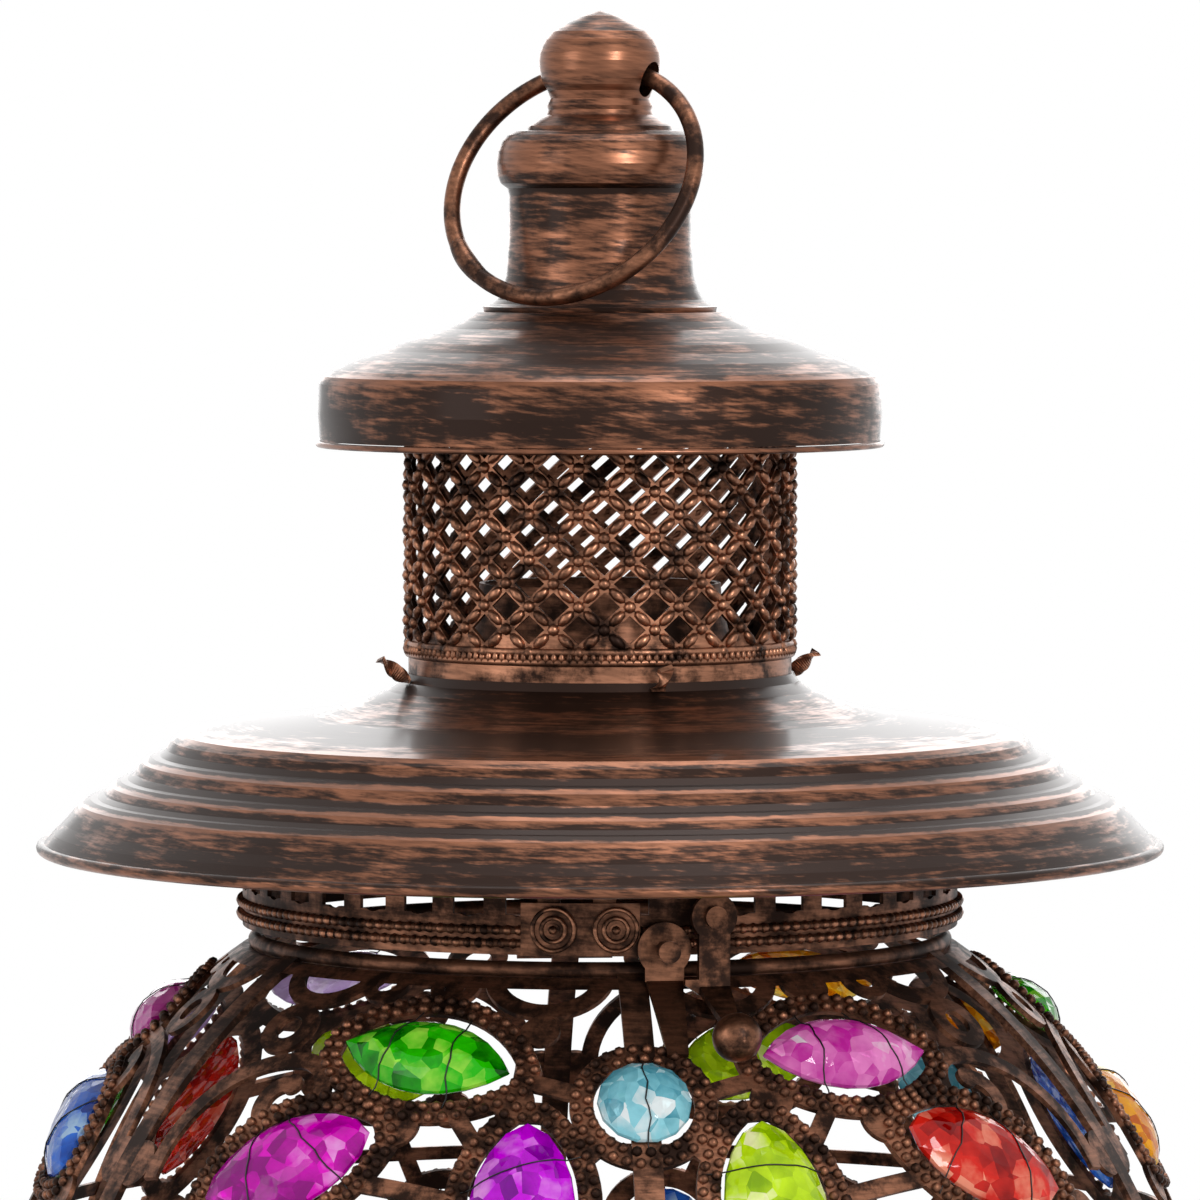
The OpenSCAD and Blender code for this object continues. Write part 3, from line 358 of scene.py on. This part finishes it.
def glass(name, deep, bright, pale_and_glint):
    """The base colour turns toward the deep colour at a grazing look, painted shade where the glass would
    else pale against the white.
    """
    mat, tree, shader = new_material(name)
    tones = {"Deep": opaque(deep), "Bright": opaque(bright), "Pale And Glint": opaque(pale_and_glint)}
    crackle = make(tree, "Group", tones, node_tree=CRACKLE)
    facing = make(tree, "LayerWeight", {"Blend": 0.5}).outputs["Facing"]
    # Painted shade: the base colour is mixed toward the deep colour by the grazing angle
    edge = span(tree, facing, *GRAZING, 0.0, GRAZING_DEPTH)
    feed(tree, shader, {
        "Base Color": mix(tree, "RGBA", edge, crackle.outputs["Color"], opaque(deep)),
        "Metallic": 0.0,
        "Transmission Weight": 0.3,
        "Specular IOR Level": 0.12,
        "Roughness": 0.06,
        "IOR": 1.49,
        "Normal": bump(tree, crackle.outputs["Height"], 0.35, 0.0005),
    })
    return mat


def tarnished(name, colour, rough, metallic):
    """A dull metal with cloudy tarnish: its colour and roughness run with a fine noise."""
    mat, tree, shader = new_material(name)
    cloud = noise(tree, {"Vector": object_place(tree), "Scale": 420.0, "Detail": 4.0})
    feed(tree, shader, {
        "Base Color": mix(tree, "RGBA", cloud, opaque(colour, TARNISH_SHARE), opaque(colour)),
        "Metallic": metallic,
        "Roughness": span(tree, cloud, 0.0, 1.0, rough + TARNISH_ROUGHER, rough - TARNISH_SMOOTHER),
    })
    return mat


COPPERS = {
    "spun_copper": dict(high=(0.27, 0.108, 0.057), low=0.45, top=0.57, streak=0.72, patch=85.0,
                        steps=1.0, coat=0.45),
    "pressed_copper": dict(high=(0.42, 0.188, 0.108), low=0.40, top=0.58, streak=0.25, patch=160.0),
    "filigree_copper": dict(high=(0.31, 0.132, 0.074), low=0.41, top=0.62, streak=0.1, patch=170.0,
                            dull=0.14),
    "aged_copper": dict(high=(0.31, 0.136, 0.078), low=0.42, top=0.62, streak=0.3, patch=110.0,
                        dull=0.14),
    "dark_copper": dict(high=(0.29, 0.124, 0.068), low=0.41, top=0.62, streak=0.1, patch=130.0),
}
# Deep, bright and pale tone of each glass; the pale tone is partly pale crackle and partly painted glints
GLASS_TONES = {
    "green": ((0.0, 0.09, 0.0), (0.02, 0.64, 0.0), (0.45, 0.95, 0.08)),
    "pink": ((0.60, 0.02, 0.38), (0.95, 0.28, 0.68), (1.0, 0.92, 0.97)),
    "magenta": ((0.32, 0.0, 0.25), (0.90, 0.0, 0.66), (1.0, 0.42, 0.92)),
    "red": ((0.26, 0.0, 0.0), (0.78, 0.02, 0.01), (1.0, 0.35, 0.22)),
    "purple": ((0.22, 0.0, 0.32), (0.70, 0.0, 0.86), (1.0, 0.42, 1.0)),
    "lime": ((0.26, 0.46, 0.0), (0.64, 0.92, 0.01), (1.0, 1.0, 0.55)),
    "aqua": ((0.05, 0.30, 0.40), (0.32, 0.74, 0.84), (0.95, 1.0, 1.0)),
    "blue": ((0.0, 0.04, 0.32), (0.03, 0.20, 0.85), (0.5, 0.75, 1.0)),
    "lilac": ((0.40, 0.20, 0.56), (0.76, 0.56, 0.95), (1.0, 0.94, 1.0)),
    "amber": ((0.58, 0.12, 0.0), (1.0, 0.46, 0.003), (1.0, 0.92, 0.2)),
}
FINISHES = {name: copper(name, **looks) for name, looks in COPPERS.items()}
FINISHES["steel"] = tarnished("dull_zinc", (0.5, 0.49, 0.47), 0.35, 0.9)
for tint, tones in GLASS_TONES.items():
    FINISHES["stone_" + tint] = glass("glass_" + tint, *tones)
BLACK_WIRE = tarnished("black_wire", (0.01, 0.009, 0.009), 0.4, 0.3)
# The latch plate stands in the roof's shade: it gets the darker aged copper of the collar that carries it, as
# painted shade
PAINTED_SHADE_FINISHES = {"latch_plate": "aged_copper"}

for entry in frame["record"]["subparts"]:
    mesh = frame["nodes"][entry["node"]].data
    mesh.materials.clear()
    mesh.materials.append(FINISHES[PAINTED_SHADE_FINISHES.get(entry["node"], entry["material_slot"])])


# Meshes

def add_piece(name, verts, faces, slot, body, mat=None, smooth=True):
    """A piece from points in millimetres and faces as lists of indices, their normals outward."""
    mesh = bpy.data.meshes.new(name)
    mesh.from_pydata((np.asarray(verts) * MM).tolist(), [], [list(map(int, face)) for face in faces])
    mesh.update()
    mesh.polygons.foreach_set("use_smooth", [smooth] * len(mesh.polygons))
    mesh.materials.append(mat or FINISHES[slot])
    piece = bpy.data.objects.new(name, mesh)
    bpy.context.scene.collection.objects.link(piece)
    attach(piece, body)
    return piece


def joined(parts):
    """Several (points, faces) as one."""
    verts = []
    faces = []
    start = 0
    for part_verts, part_faces in parts:
        verts.append(part_verts)
        faces += [tuple(i + start for i in face) for face in part_faces]
        start += len(part_verts)
    return np.concatenate(verts), faces


def ball():
    """A low ball: an octahedron whose edges are halved and pushed out to radius 1, 18 points, 32 faces."""
    corners = [(1, 0, 0), (-1, 0, 0), (0, 1, 0), (0, -1, 0), (0, 0, 1), (0, 0, -1)]
    verts = [np.array(corner, float) for corner in corners]
    octahedron = [(0, 2, 4), (2, 1, 4), (1, 3, 4), (3, 0, 4), (2, 0, 5), (1, 2, 5), (3, 1, 5), (0, 3, 5)]
    halves = {}
    faces = []

    def half(a, b):
        key = (min(a, b), max(a, b))
        if key not in halves:
            p = verts[a] + verts[b]
            verts.append(p / np.linalg.norm(p))
            halves[key] = len(verts) - 1
        return halves[key]

    for a, b, c in octahedron:
        ab, bc, ca = half(a, b), half(b, c), half(c, a)
        faces += [(a, ab, ca), (ab, b, bc), (ca, bc, c), (ab, bc, ca)]
    return np.array(verts), np.array(faces)


BALL_VERTS, BALL_FACES = ball()


def grains(name, points, axes, slot, body, mat=None):
    """One ellipsoid at each point: p + b A for every point b of the low ball, A its half axes as rows."""
    points = np.asarray(points, float)
    verts = points[:, None, :] + BALL_VERTS[None] @ np.asarray(axes, float)
    faces = BALL_FACES[None] + (np.arange(len(points)) * len(BALL_VERTS))[:, None, None]
    return add_piece(name, verts.reshape(-1, 3), faces.reshape(-1, 3), slot, body, mat)


def beads(name, points, slot, body, mat=None):
    """Round beads at the points: p + BEAD_R b."""
    return grains(name, points, BEAD_R * np.eye(3), slot, body, mat)


def wall_faces(rows, sides, closed=False):
    """Quads between the rows of a tube whose every row has the same number of sides."""
    i = np.arange(rows if closed else rows - 1)[:, None]
    s = np.arange(sides)[None]
    ahead = (i + 1) % rows
    beside = (s + 1) % sides
    quads = np.stack([i * sides + s, i * sides + beside, ahead * sides + beside, ahead * sides + s], -1)
    return [tuple(quad) for quad in quads.reshape(-1, 4).tolist()]


def end_faces(rows, sides):
    """The two flat ends of such a tube."""
    return [tuple(range(sides))[::-1], tuple((rows - 1) * sides + s for s in range(sides))]


# A direction that no path sets out in
ASIDE = (0.31, 0.52, 0.79)


def tube(path, radii, sides, closed=False):
    """A round tube: p(s) + r(s) (n cos a + b sin a), n and b carried along the path without twist."""
    path = np.asarray(path, float)
    rows = len(path)
    radii = np.broadcast_to(np.asarray(radii, float), (rows,))
    if closed:
        along = np.roll(path, -1, 0) - np.roll(path, 1, 0)
    else:
        along = np.gradient(path, axis=0)
    along /= np.linalg.norm(along, axis=1)[:, None]
    n = np.cross(along[0], ASIDE)
    n /= np.linalg.norm(n)
    a = np.arange(sides) * 2 * math.pi / sides
    rings = []
    for i in range(rows):
        n = n - along[i] * (n @ along[i])
        n /= np.linalg.norm(n)
        b = np.cross(along[i], n)
        rings.append(path[i] + radii[i] * (np.cos(a)[:, None] * n + np.sin(a)[:, None] * b))
    faces = wall_faces(rows, sides, closed)
    if not closed:
        faces += end_faces(rows, sides)
    return np.concatenate(rings), faces


# Places on the globe and outlines

def axes_at(turn, fall=90):
    """Right, up and out at a turn from the front and a fall from the top:
    out = (sin t sin f, -cos t sin f, cos f). A fall of 90 gives those of an upright wall."""
    t = math.radians(turn)
    f = math.radians(fall)
    right = np.array([math.cos(t), math.sin(t), 0])
    up = np.array([-math.sin(t) * math.cos(f), math.cos(t) * math.cos(f), math.sin(f)])
    out = np.array([math.sin(t) * math.sin(f), -math.cos(t) * math.sin(f), math.cos(f)])
    return right, up, out


def next_turn(panel):
    """Turn of the rib on a panel's right side."""
    return RIB_TURNS[panel + 1] if panel + 1 < len(RIB_TURNS) else RIB_TURNS[0] + 360


def stone_places(panel):
    """(x, y, out, shape, colour) of a panel's stones, x and y turned by the lean. Left panels are
    mirrored."""
    width = next_turn(panel) - RIB_TURNS[panel]
    left = panel % 2 == 0
    for k, (share, fall, lean, shape) in enumerate(ROWS):
        if k == 0:
            lean = lean + UPPER_LEANS[panel]
        turn = next_turn(panel) - share * width if left else RIB_TURNS[panel] + share * width
        right, up, out = axes_at(turn, fall)
        if left:
            right = -right
        a = math.radians(lean)
        x = right * math.cos(a) - up * math.sin(a)
        y = right * math.sin(a) + up * math.cos(a)
        yield x, y, out, shape, PANEL_COLOURS[panel][k]


# A blunt outline's arcs would meet this much farther out, squared, than it ends
BLUNT = 1.15
OUTLINE_STEPS = 721


def edge_distance(a, b, theta, pointed):
    """From the middle to an outline of two long arcs through (0, b) and (0, -b), which meet in points at
    (a, 0) or are cut blunt at the distance a: r = sqrt(R^2 - (k cos t)^2) - k |sin t|, k = R - b."""
    big_r = (a * a * (1 if pointed else BLUNT) + b * b) / (2 * b)
    k = big_r - b
    r = -k * np.abs(np.sin(theta)) + np.sqrt(np.maximum(big_r * big_r - (k * np.cos(theta)) ** 2, 0))
    return np.minimum(r, a)


def outline(shape, a, b, count, pointed=False):
    """count points round a stone's or a frame's outline, spaced evenly by length."""
    theta = np.linspace(0, 2 * math.pi, OUTLINE_STEPS)
    r = np.full_like(theta, a) if shape == ROUND else edge_distance(a, b, theta, pointed)
    p = np.stack([r * np.cos(theta), r * np.sin(theta)], 1)
    s = np.concatenate([[0], np.cumsum(np.linalg.norm(np.diff(p, axis=0), axis=1))])
    at = np.arange(count) * s[-1] / count
    return np.stack([np.interp(at, s, p[:, 0]), np.interp(at, s, p[:, 1])], 1)


def lifted(x, y, out, p, height):
    """Points of a plane through the globe's middle, p = (along x, along y), each at its height along out."""
    return GLOBE_MIDDLE + p[:, :1] * x + p[:, 1:] * y + np.reshape(height, (-1, 1)) * out


def sphere_height(p, r):
    """Height of a sphere of radius r over the plane's points: sqrt(r^2 - |p|^2)."""
    return np.sqrt(np.maximum(r * r - (p ** 2).sum(1), 0))


# Stones, their wires and their beads

ROUND_FACETS = 14
LONG_FACETS = 18


def cut_stone(x, y, out, base_r, shape):
    """A cut stone: rings of the outline, each scaled and lifted, some turned by half a step, joined by flat
    faces, with a flat table and back."""
    a, b = STONE_HALVES[shape]
    count = ROUND_FACETS if shape == ROUND else LONG_FACETS
    full = outline(shape, a, b, 2 * count, shape == NAVETTE)
    verts = np.concatenate([lifted(x, y, out, full[half::2] * scale, base_r + lift * STONE_H)
                            for scale, lift, half in CUTS])
    i = np.arange(count)
    n = (i + 1) % count
    faces = []
    for ring in range(len(CUTS) - 1):
        low = ring * count
        high = low + count
        step = CUTS[ring + 1][2] - CUTS[ring][2]
        if step == 0:
            sets = [(low + i, low + n, high + n, high + i)]
        elif step == 1:
            sets = [(low + i, low + n, high + i), (low + n, high + n, high + i)]
        else:
            sets = [(low + i, low + n, high + n), (low + i, high + n, high + i)]
        corners = np.stack([np.stack(s, 1) for s in sets], 1).reshape(-1, len(sets[0]))
        faces += [tuple(face) for face in corners.tolist()]
    last = (len(CUTS) - 1) * count
    faces.append(tuple(range(last, last + count)))
    faces.append(tuple(range(count))[::-1])
    if np.cross(x, y) @ out < 0:
        faces = [face[::-1] for face in faces]
    return verts, faces


# Where wires cross a stone: share of its half length, direction from its length
ROUND_CROSSINGS = [(0.0, 0.5 * math.pi)]
LONG_CROSSINGS = [(-0.42, 1.35), (0.38, 1.8)]
WIRE_REACH = 2.2
WIRE_LANDS = 0.9
WIRE_POINTS = 13
WIRE_TURN = 0.25
WIRE_SHIFT = 1
WIRE_BEND = 0.4


def crossing_wires(x, y, out, base_r, shape):
    """Thin wires over a stone, just above its cut faces: the lift is read from the rings of the cut at the
    share |p| / r(theta) of the outline, and the ends lie on the frame."""
    a, b = STONE_HALVES[shape]
    parts = []
    for place, angle in ROUND_CROSSINGS if shape == ROUND else LONG_CROSSINGS:
        angle += rng.uniform(-WIRE_TURN, WIRE_TURN)
        mid = np.array([place * a + rng.uniform(-WIRE_SHIFT, WIRE_SHIFT), 0.0])
        reach = b + WIRE_REACH
        s = np.linspace(-reach, reach, WIRE_POINTS)
        p = mid + s[:, None] * np.array([math.cos(angle), math.sin(angle)])
        p[:, 0] += rng.uniform(-WIRE_BEND, WIRE_BEND) * np.sin(s)
        theta = np.arctan2(p[:, 1], p[:, 0])
        edge = a if shape == ROUND else edge_distance(a, b, theta, shape == NAVETTE)
        share = np.hypot(p[:, 0], p[:, 1]) / edge
        sheet = sphere_height(p, GLOBE_R) + BEAD_SEAT
        over = base_r + STONE_H * np.interp(share, WIRE_SHARES, WIRE_LIFTS) + WIRE_GAP
        height = np.where(np.abs(s) > b + WIRE_LANDS, sheet, np.maximum(over, sheet))
        parts.append(tube(lifted(x, y, out, p, height), WIRE_R, 4))
    return parts


BORDER_STEPS = 400


def border_beads(x, y, out, shape, rows):
    """Places of the beads on a frame: rows round its opening, each so far out and of such a pitch."""
    a, b = OPENING_HALVES[shape]
    places = []
    for grow, pitch in rows:
        ring = outline(shape, a + grow, b + grow, BORDER_STEPS)
        around = np.linalg.norm(ring - np.roll(ring, 1, 0), axis=1).sum()
        ring = outline(shape, a + grow, b + grow, int(around / pitch))
        places.append(lifted(x, y, out, ring, sphere_height(ring, GLOBE_R + BEAD_SEAT)))
    return places


stone_parts = {colour: [] for colour in range(len(COLOURS))}
wire_parts = []


def set_stone(x, y, out, base_r, shape, colour):
    """A stone and the wires over it, kept until every stone is known."""
    stone_parts[colour].append(cut_stone(x, y, out, base_r, shape))
    wire_parts.extend(crossing_wires(x, y, out, base_r, shape))


for panel in range(len(RIB_TURNS)):
    border = []
    for x, y, out, shape, colour in stone_places(panel):
        set_stone(x, y, out, PANEL_SEAT_R, shape, colour)
        border += border_beads(x, y, out, shape, PANEL_BEADS)
    beads("frame_beads_%d" % (panel + 1), np.concatenate(border), "filigree_copper", "globe")
for k, (rib, colour) in enumerate(MEDALS):
    for fall in MEDAL_FALLS:
        x, y, out = axes_at(RIB_TURNS[rib], fall)
        set_stone(x, y, out, MEDAL_SEAT_R, ROUND, colour)
        border = border_beads(x, y, out, ROUND, MEDAL_BEADS)
        beads("medal_beads_%d_%d" % (k, int(fall)), np.concatenate(border), "filigree_copper", "globe")
for colour, parts in stone_parts.items():
    slot = "stone_" + COLOURS[colour]
    stones = add_piece("cut_stones_" + COLOURS[colour], *joined(parts), slot, "globe", smooth=False)
    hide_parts("stones_" + COLOURS[colour])
add_piece("stone_wires", *joined(wire_parts), None, "globe", BLACK_WIRE)


# Bead rows

def ring_points(r, z, count, start=0.0):
    """Points (r sin a, -r cos a, z), a spaced evenly from the start."""
    a = np.arange(count) * 2 * math.pi / count + start
    return np.stack([r * np.sin(a), -r * np.cos(a), np.full(count, z)], 1)


def strip_beads(name, r, z, count, skew, slot, body):
    """The two bead rows of a punched strip, the second turned by the skew."""
    rows = [ring_points(r, z + lift, count, skew * share) for lift, share in STRIP_ROWS]
    beads(name, np.concatenate(rows), slot, body, FINISHES["pressed_copper"])


FOOT_BEADS = 156
FOOT_BEAD_Z = NECK_Z + 4.3
FOOT_BEAD_R = GALLERY_R + 0.15
FOOT_BEAD_HALVES = (0.66, 1.2, 0.85)


def gallery_beads():
    """The upright beads of the gallery's foot."""
    points = []
    axes = []
    half_w, half_h, half_t = FOOT_BEAD_HALVES
    for k in range(FOOT_BEADS):
        right, up, out = axes_at(k * 360 / FOOT_BEADS)
        points.append(FOOT_BEAD_R * out + FOOT_BEAD_Z * up)
        axes.append(np.array([half_w * right, half_h * up, half_t * out]))
    grains("gallery_bead_row", points, axes, "pressed_copper", "roof")


gallery_beads()
strip_beads("collar_bead_rows", r=63.7, z=COLLAR_Z, count=196, skew=0.016, slot="aged_copper", body="roof")
strip_beads("base_bead_rows", r=48.6, z=BASE_STRIP_Z, count=150, skew=0.02, slot="pressed_copper",
            body="globe")


# The lattice

def lattice_places():
    """Turn, height, slant and half axes of each grain: a round knob where two strands cross, and a long
    grain in the middle of each strand between them. A slant of 0 is upright."""
    quarter = COLUMN / 4
    for row in range(HOLE_ROWS):
        for k in range(COLUMNS):
            turn = (k + (row % 2) / 2 + 0.25) * COLUMN
            z = FIRST_HOLE_Z + row * ROW_H
            yield turn + 2 * quarter, z, 0, KNOB
            yield turn + quarter, z + ROW_H / 2, -1, STRAND
            yield turn - quarter, z + ROW_H / 2, 1, STRAND
    for k in range(COLUMNS):
        turn = (k + 0.25) * COLUMN
        yield turn, FIRST_HOLE_Z - ROW_H, 0, KNOB
        yield turn + quarter, FIRST_HOLE_Z - ROW_H / 2, 1, STRAND
        yield turn - quarter, FIRST_HOLE_Z - ROW_H / 2, -1, STRAND


def lattice_grains():
    """Grains on the gallery's wall, their long axis up the strand: (slant run, rise) on the wall."""
    points = []
    axes = []
    for turn, z, slant, (half_l, half_w, half_t) in lattice_places():
        if z < LAST_GRAIN_Z:
            right, up, out = axes_at(turn)
            along = slant * STRAND_RUN * right + ROW_H * up
            along /= np.linalg.norm(along)
            points.append(GALLERY_R * out + z * up)
            axes.append(np.array([half_l * along, half_w * np.cross(out, along), half_t * out]))
    grains("lattice_knobs", points, axes, "pressed_copper", "roof")


lattice_grains()


# Twisted tabs, the ring's lap and the latch plate's rosettes

TAB_TURN = 11.5
TAB_COUNT = 4
TAB_HALF_W = 1.3
TAB_HALF_T = 0.4
TAB_L = 6.5
TAB_TWIST = math.radians(200)
TAB_LEAN = math.radians(52)
TAB_DROP = 1.1
TAB_ROWS = 17


def twisted_tab(turn):
    """A strap turned along its length, leaning out of the gallery's foot: p + l s + (section turned by
    w s), s from 0 to 1."""
    side, up, out = axes_at(turn)
    ahead = math.sin(TAB_LEAN) * out + math.cos(TAB_LEAN) * up
    third = np.cross(ahead, side)
    start = (GALLERY_R + TAB_HALF_W) * out + (NECK_Z - TAB_DROP) * up
    s = np.linspace(0, 1, TAB_ROWS)[:, None, None]
    w = TAB_TWIST * s
    px = np.array([-1, 1, 1, -1])[None, :, None] * TAB_HALF_W
    py = np.array([-1, -1, 1, 1])[None, :, None] * TAB_HALF_T
    section = (px * np.cos(w) - py * np.sin(w)) * side + (px * np.sin(w) + py * np.cos(w)) * third
    verts = start + section + ahead * TAB_L * s
    return verts.reshape(-1, 3), wall_faces(TAB_ROWS, 4) + end_faces(TAB_ROWS, 4)


tab_parts = [twisted_tab(TAB_TURN + k * 360 / TAB_COUNT) for k in range(TAB_COUNT)]
tabs = add_piece("twisted_tabs", *joined(tab_parts), "pressed_copper", "roof", smooth=False)
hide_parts("gallery_tabs")

LAP_FROM = -58
LAP_TO = -34
LAP_SWELL = 0.28
LAP_ROWS = 14


def ring_lap():
    """The lap of the hanging ring's wire: a sleeve on the ring's own circle, r = wire + swell sin(pi s)."""
    along = np.array([math.cos(BAIL_TURN), -math.sin(BAIL_TURN), 0])
    ahead = np.array([-math.sin(BAIL_TURN), -math.cos(BAIL_TURN), 0])
    down = ahead * math.sin(BAIL_LEAN) - np.array([0, 0, 1]) * math.cos(BAIL_LEAN)
    middle = np.array([0, 0, BAIL_Z]) + math.sqrt(BAIL_R ** 2 - BAIL_HOLE_R ** 2) * down
    s = np.linspace(0, 1, LAP_ROWS)
    a = np.radians(LAP_FROM + (LAP_TO - LAP_FROM) * s)[:, None]
    path = middle + BAIL_R * (np.sin(a) * along + np.cos(a) * down)
    return tube(path, BAIL_WIRE_R + LAP_SWELL * np.sin(math.pi * s), 12)


add_piece("ring_lap", *ring_lap(), "dark_copper", "ring")

ROSETTE_TURNS = [-12, -2.6]
ROSETTE_Z = COLLAR_Z + 4.5
# Rings of a rosette: their radius and how far from the axis they stand
ROSETTE_RINGS = [(3.6, 65.05), (2.05, 65.25)]
ROSETTE_WIRE_R = 0.42
ROSETTE_BALL_R = 0.85
ROSETTE_BALL_SEAT = 65.4
ROSETTE_STEPS = 40


def rosette(turn):
    """Two raised rings and a ball on the latch plate, each ring round p(a) = c (right cos a + up sin a)."""
    right, up, out = axes_at(turn)
    a = np.linspace(0, 2 * math.pi, ROSETTE_STEPS + 1)[:-1, None]
    parts = []
    for c, seat in ROSETTE_RINGS:
        path = seat * out + ROSETTE_Z * up + c * (np.cos(a) * right + np.sin(a) * up)
        parts.append(tube(path, ROSETTE_WIRE_R, 8, True))
    parts.append((ROSETTE_BALL_SEAT * out + ROSETTE_Z * up + ROSETTE_BALL_R * BALL_VERTS, BALL_FACES))
    return parts


rosette_parts = [part for turn in ROSETTE_TURNS for part in rosette(turn)]
add_piece("plate_rosettes", *joined(rosette_parts), "pressed_copper", "roof")


# Lamps, world, floor and camera, in metres

def add_lamp(name, place, target, size, power):
    """A soft rectangular lamp at a place, turned to its target."""
    data = bpy.data.lights.new(name, "AREA")
    data.shape = "RECTANGLE"
    data.size, data.size_y = size
    data.energy = power
    lamp = bpy.data.objects.new(name, data)
    bpy.context.scene.collection.objects.link(lamp)
    lamp.location = place
    d = np.array(target) - np.array(place)
    lamp.rotation_euler = (math.acos(-d[2] / np.linalg.norm(d)), 0, math.atan2(d[1], d[0]) - math.pi / 2)


add_lamp("soft_left", (-1.6, -0.9, 0.8), (0, 0, 0.25), (0.8, 1.4), 8)
add_lamp("soft_right", (0.7, -1.5, 1.0), (0, 0, 0.28), (0.3, 0.9), 19)
add_lamp("soft_top", (0.2, 0.3, 2.0), (0, 0, 0.2), (1.2, 1.2), 13)
add_lamp("soft_back", (0.3, 1.8, 0.8), (0, 0, 0.2), (1.6, 1.2), 12)


WORLD_LIGHT = 0.4
WORLD_SEEN = 1.0


def white_world():
    """White where the camera, metal or glass sees it, and a soft grey light on everything else."""
    world = bpy.data.worlds.new("studio")
    world.use_nodes = True
    tree = world.node_tree
    rays = make(tree, "LightPath", {}).outputs
    seen = calc(tree, "ADD", rays["Is Camera Ray"], rays["Is Glossy Ray"], use_clamp=True)
    seen = calc(tree, "ADD", seen, rays["Is Transmission Ray"], use_clamp=True)
    strength = span(tree, seen, 0.0, 1.0, WORLD_LIGHT, WORLD_SEEN)
    feed(tree, tree.nodes["Background"], {"Color": (1, 1, 1, 1), "Strength": strength})
    return world


FLOOR_HALF = 0.6
FLOOR_DROP = 0.0005
# The floor gives way to the white world between these two radii, so that it has no edge
FADE_START = 0.33
FADE_END = 0.58


def white_floor():
    """A white square under the foot that fades away outward."""
    mat, tree, shader = new_material("white_floor")
    feed(tree, shader, {"Base Color": (0.9, 0.9, 0.9, 1), "Roughness": 0.8})
    far = make(tree, "VectorMath", {0: object_place(tree)}, operation="LENGTH").outputs["Value"]
    fade = span(tree, far, FADE_START, FADE_END, curve="SMOOTHSTEP")
    clear = make(tree, "BsdfTransparent", {}).outputs["BSDF"]
    surface = make(tree, "MixShader", {0: fade, 1: shader.outputs["BSDF"], 2: clear}).outputs[0]
    feed(tree, tree.nodes["Material Output"], {"Surface": surface})
    mesh = bpy.data.meshes.new("floor")
    h = FLOOR_HALF
    corners = [(x, y, -FLOOR_DROP) for x, y in ((-h, -h), (h, -h), (h, h), (-h, h))]
    mesh.from_pydata(corners, [], [(0, 1, 2, 3)])
    mesh.materials.append(mat)
    floor = bpy.data.objects.new("floor", mesh)
    bpy.context.scene.collection.objects.link(floor)
    return floor


# Degrees round from the front and down from level, metres
CAMERA_TURN = -5
CAMERA_DOWN = 2.9
CAMERA_FAR = 1.3827
CAMERA_Z = (RING_Z + 130.1) * MM


def add_camera():
    """The photograph's view: from a little left of the front, looking down by CAMERA_DOWN degrees."""
    data = bpy.data.cameras.new("camera")
    data.lens = 234
    data.sensor_width = 36
    data.clip_end = 20
    camera = bpy.data.objects.new("camera", data)
    bpy.context.scene.collection.objects.link(camera)
    _, up, away = axes_at(CAMERA_TURN)
    camera.location = CAMERA_FAR * away + CAMERA_Z * up
    camera.rotation_euler = (math.radians(90 - CAMERA_DOWN), 0, math.radians(CAMERA_TURN))
    return camera


bpy.context.scene.world = white_world()
white_floor()
bpy.context.scene.camera = add_camera()
bpy.context.scene.view_settings.view_transform = "Standard"
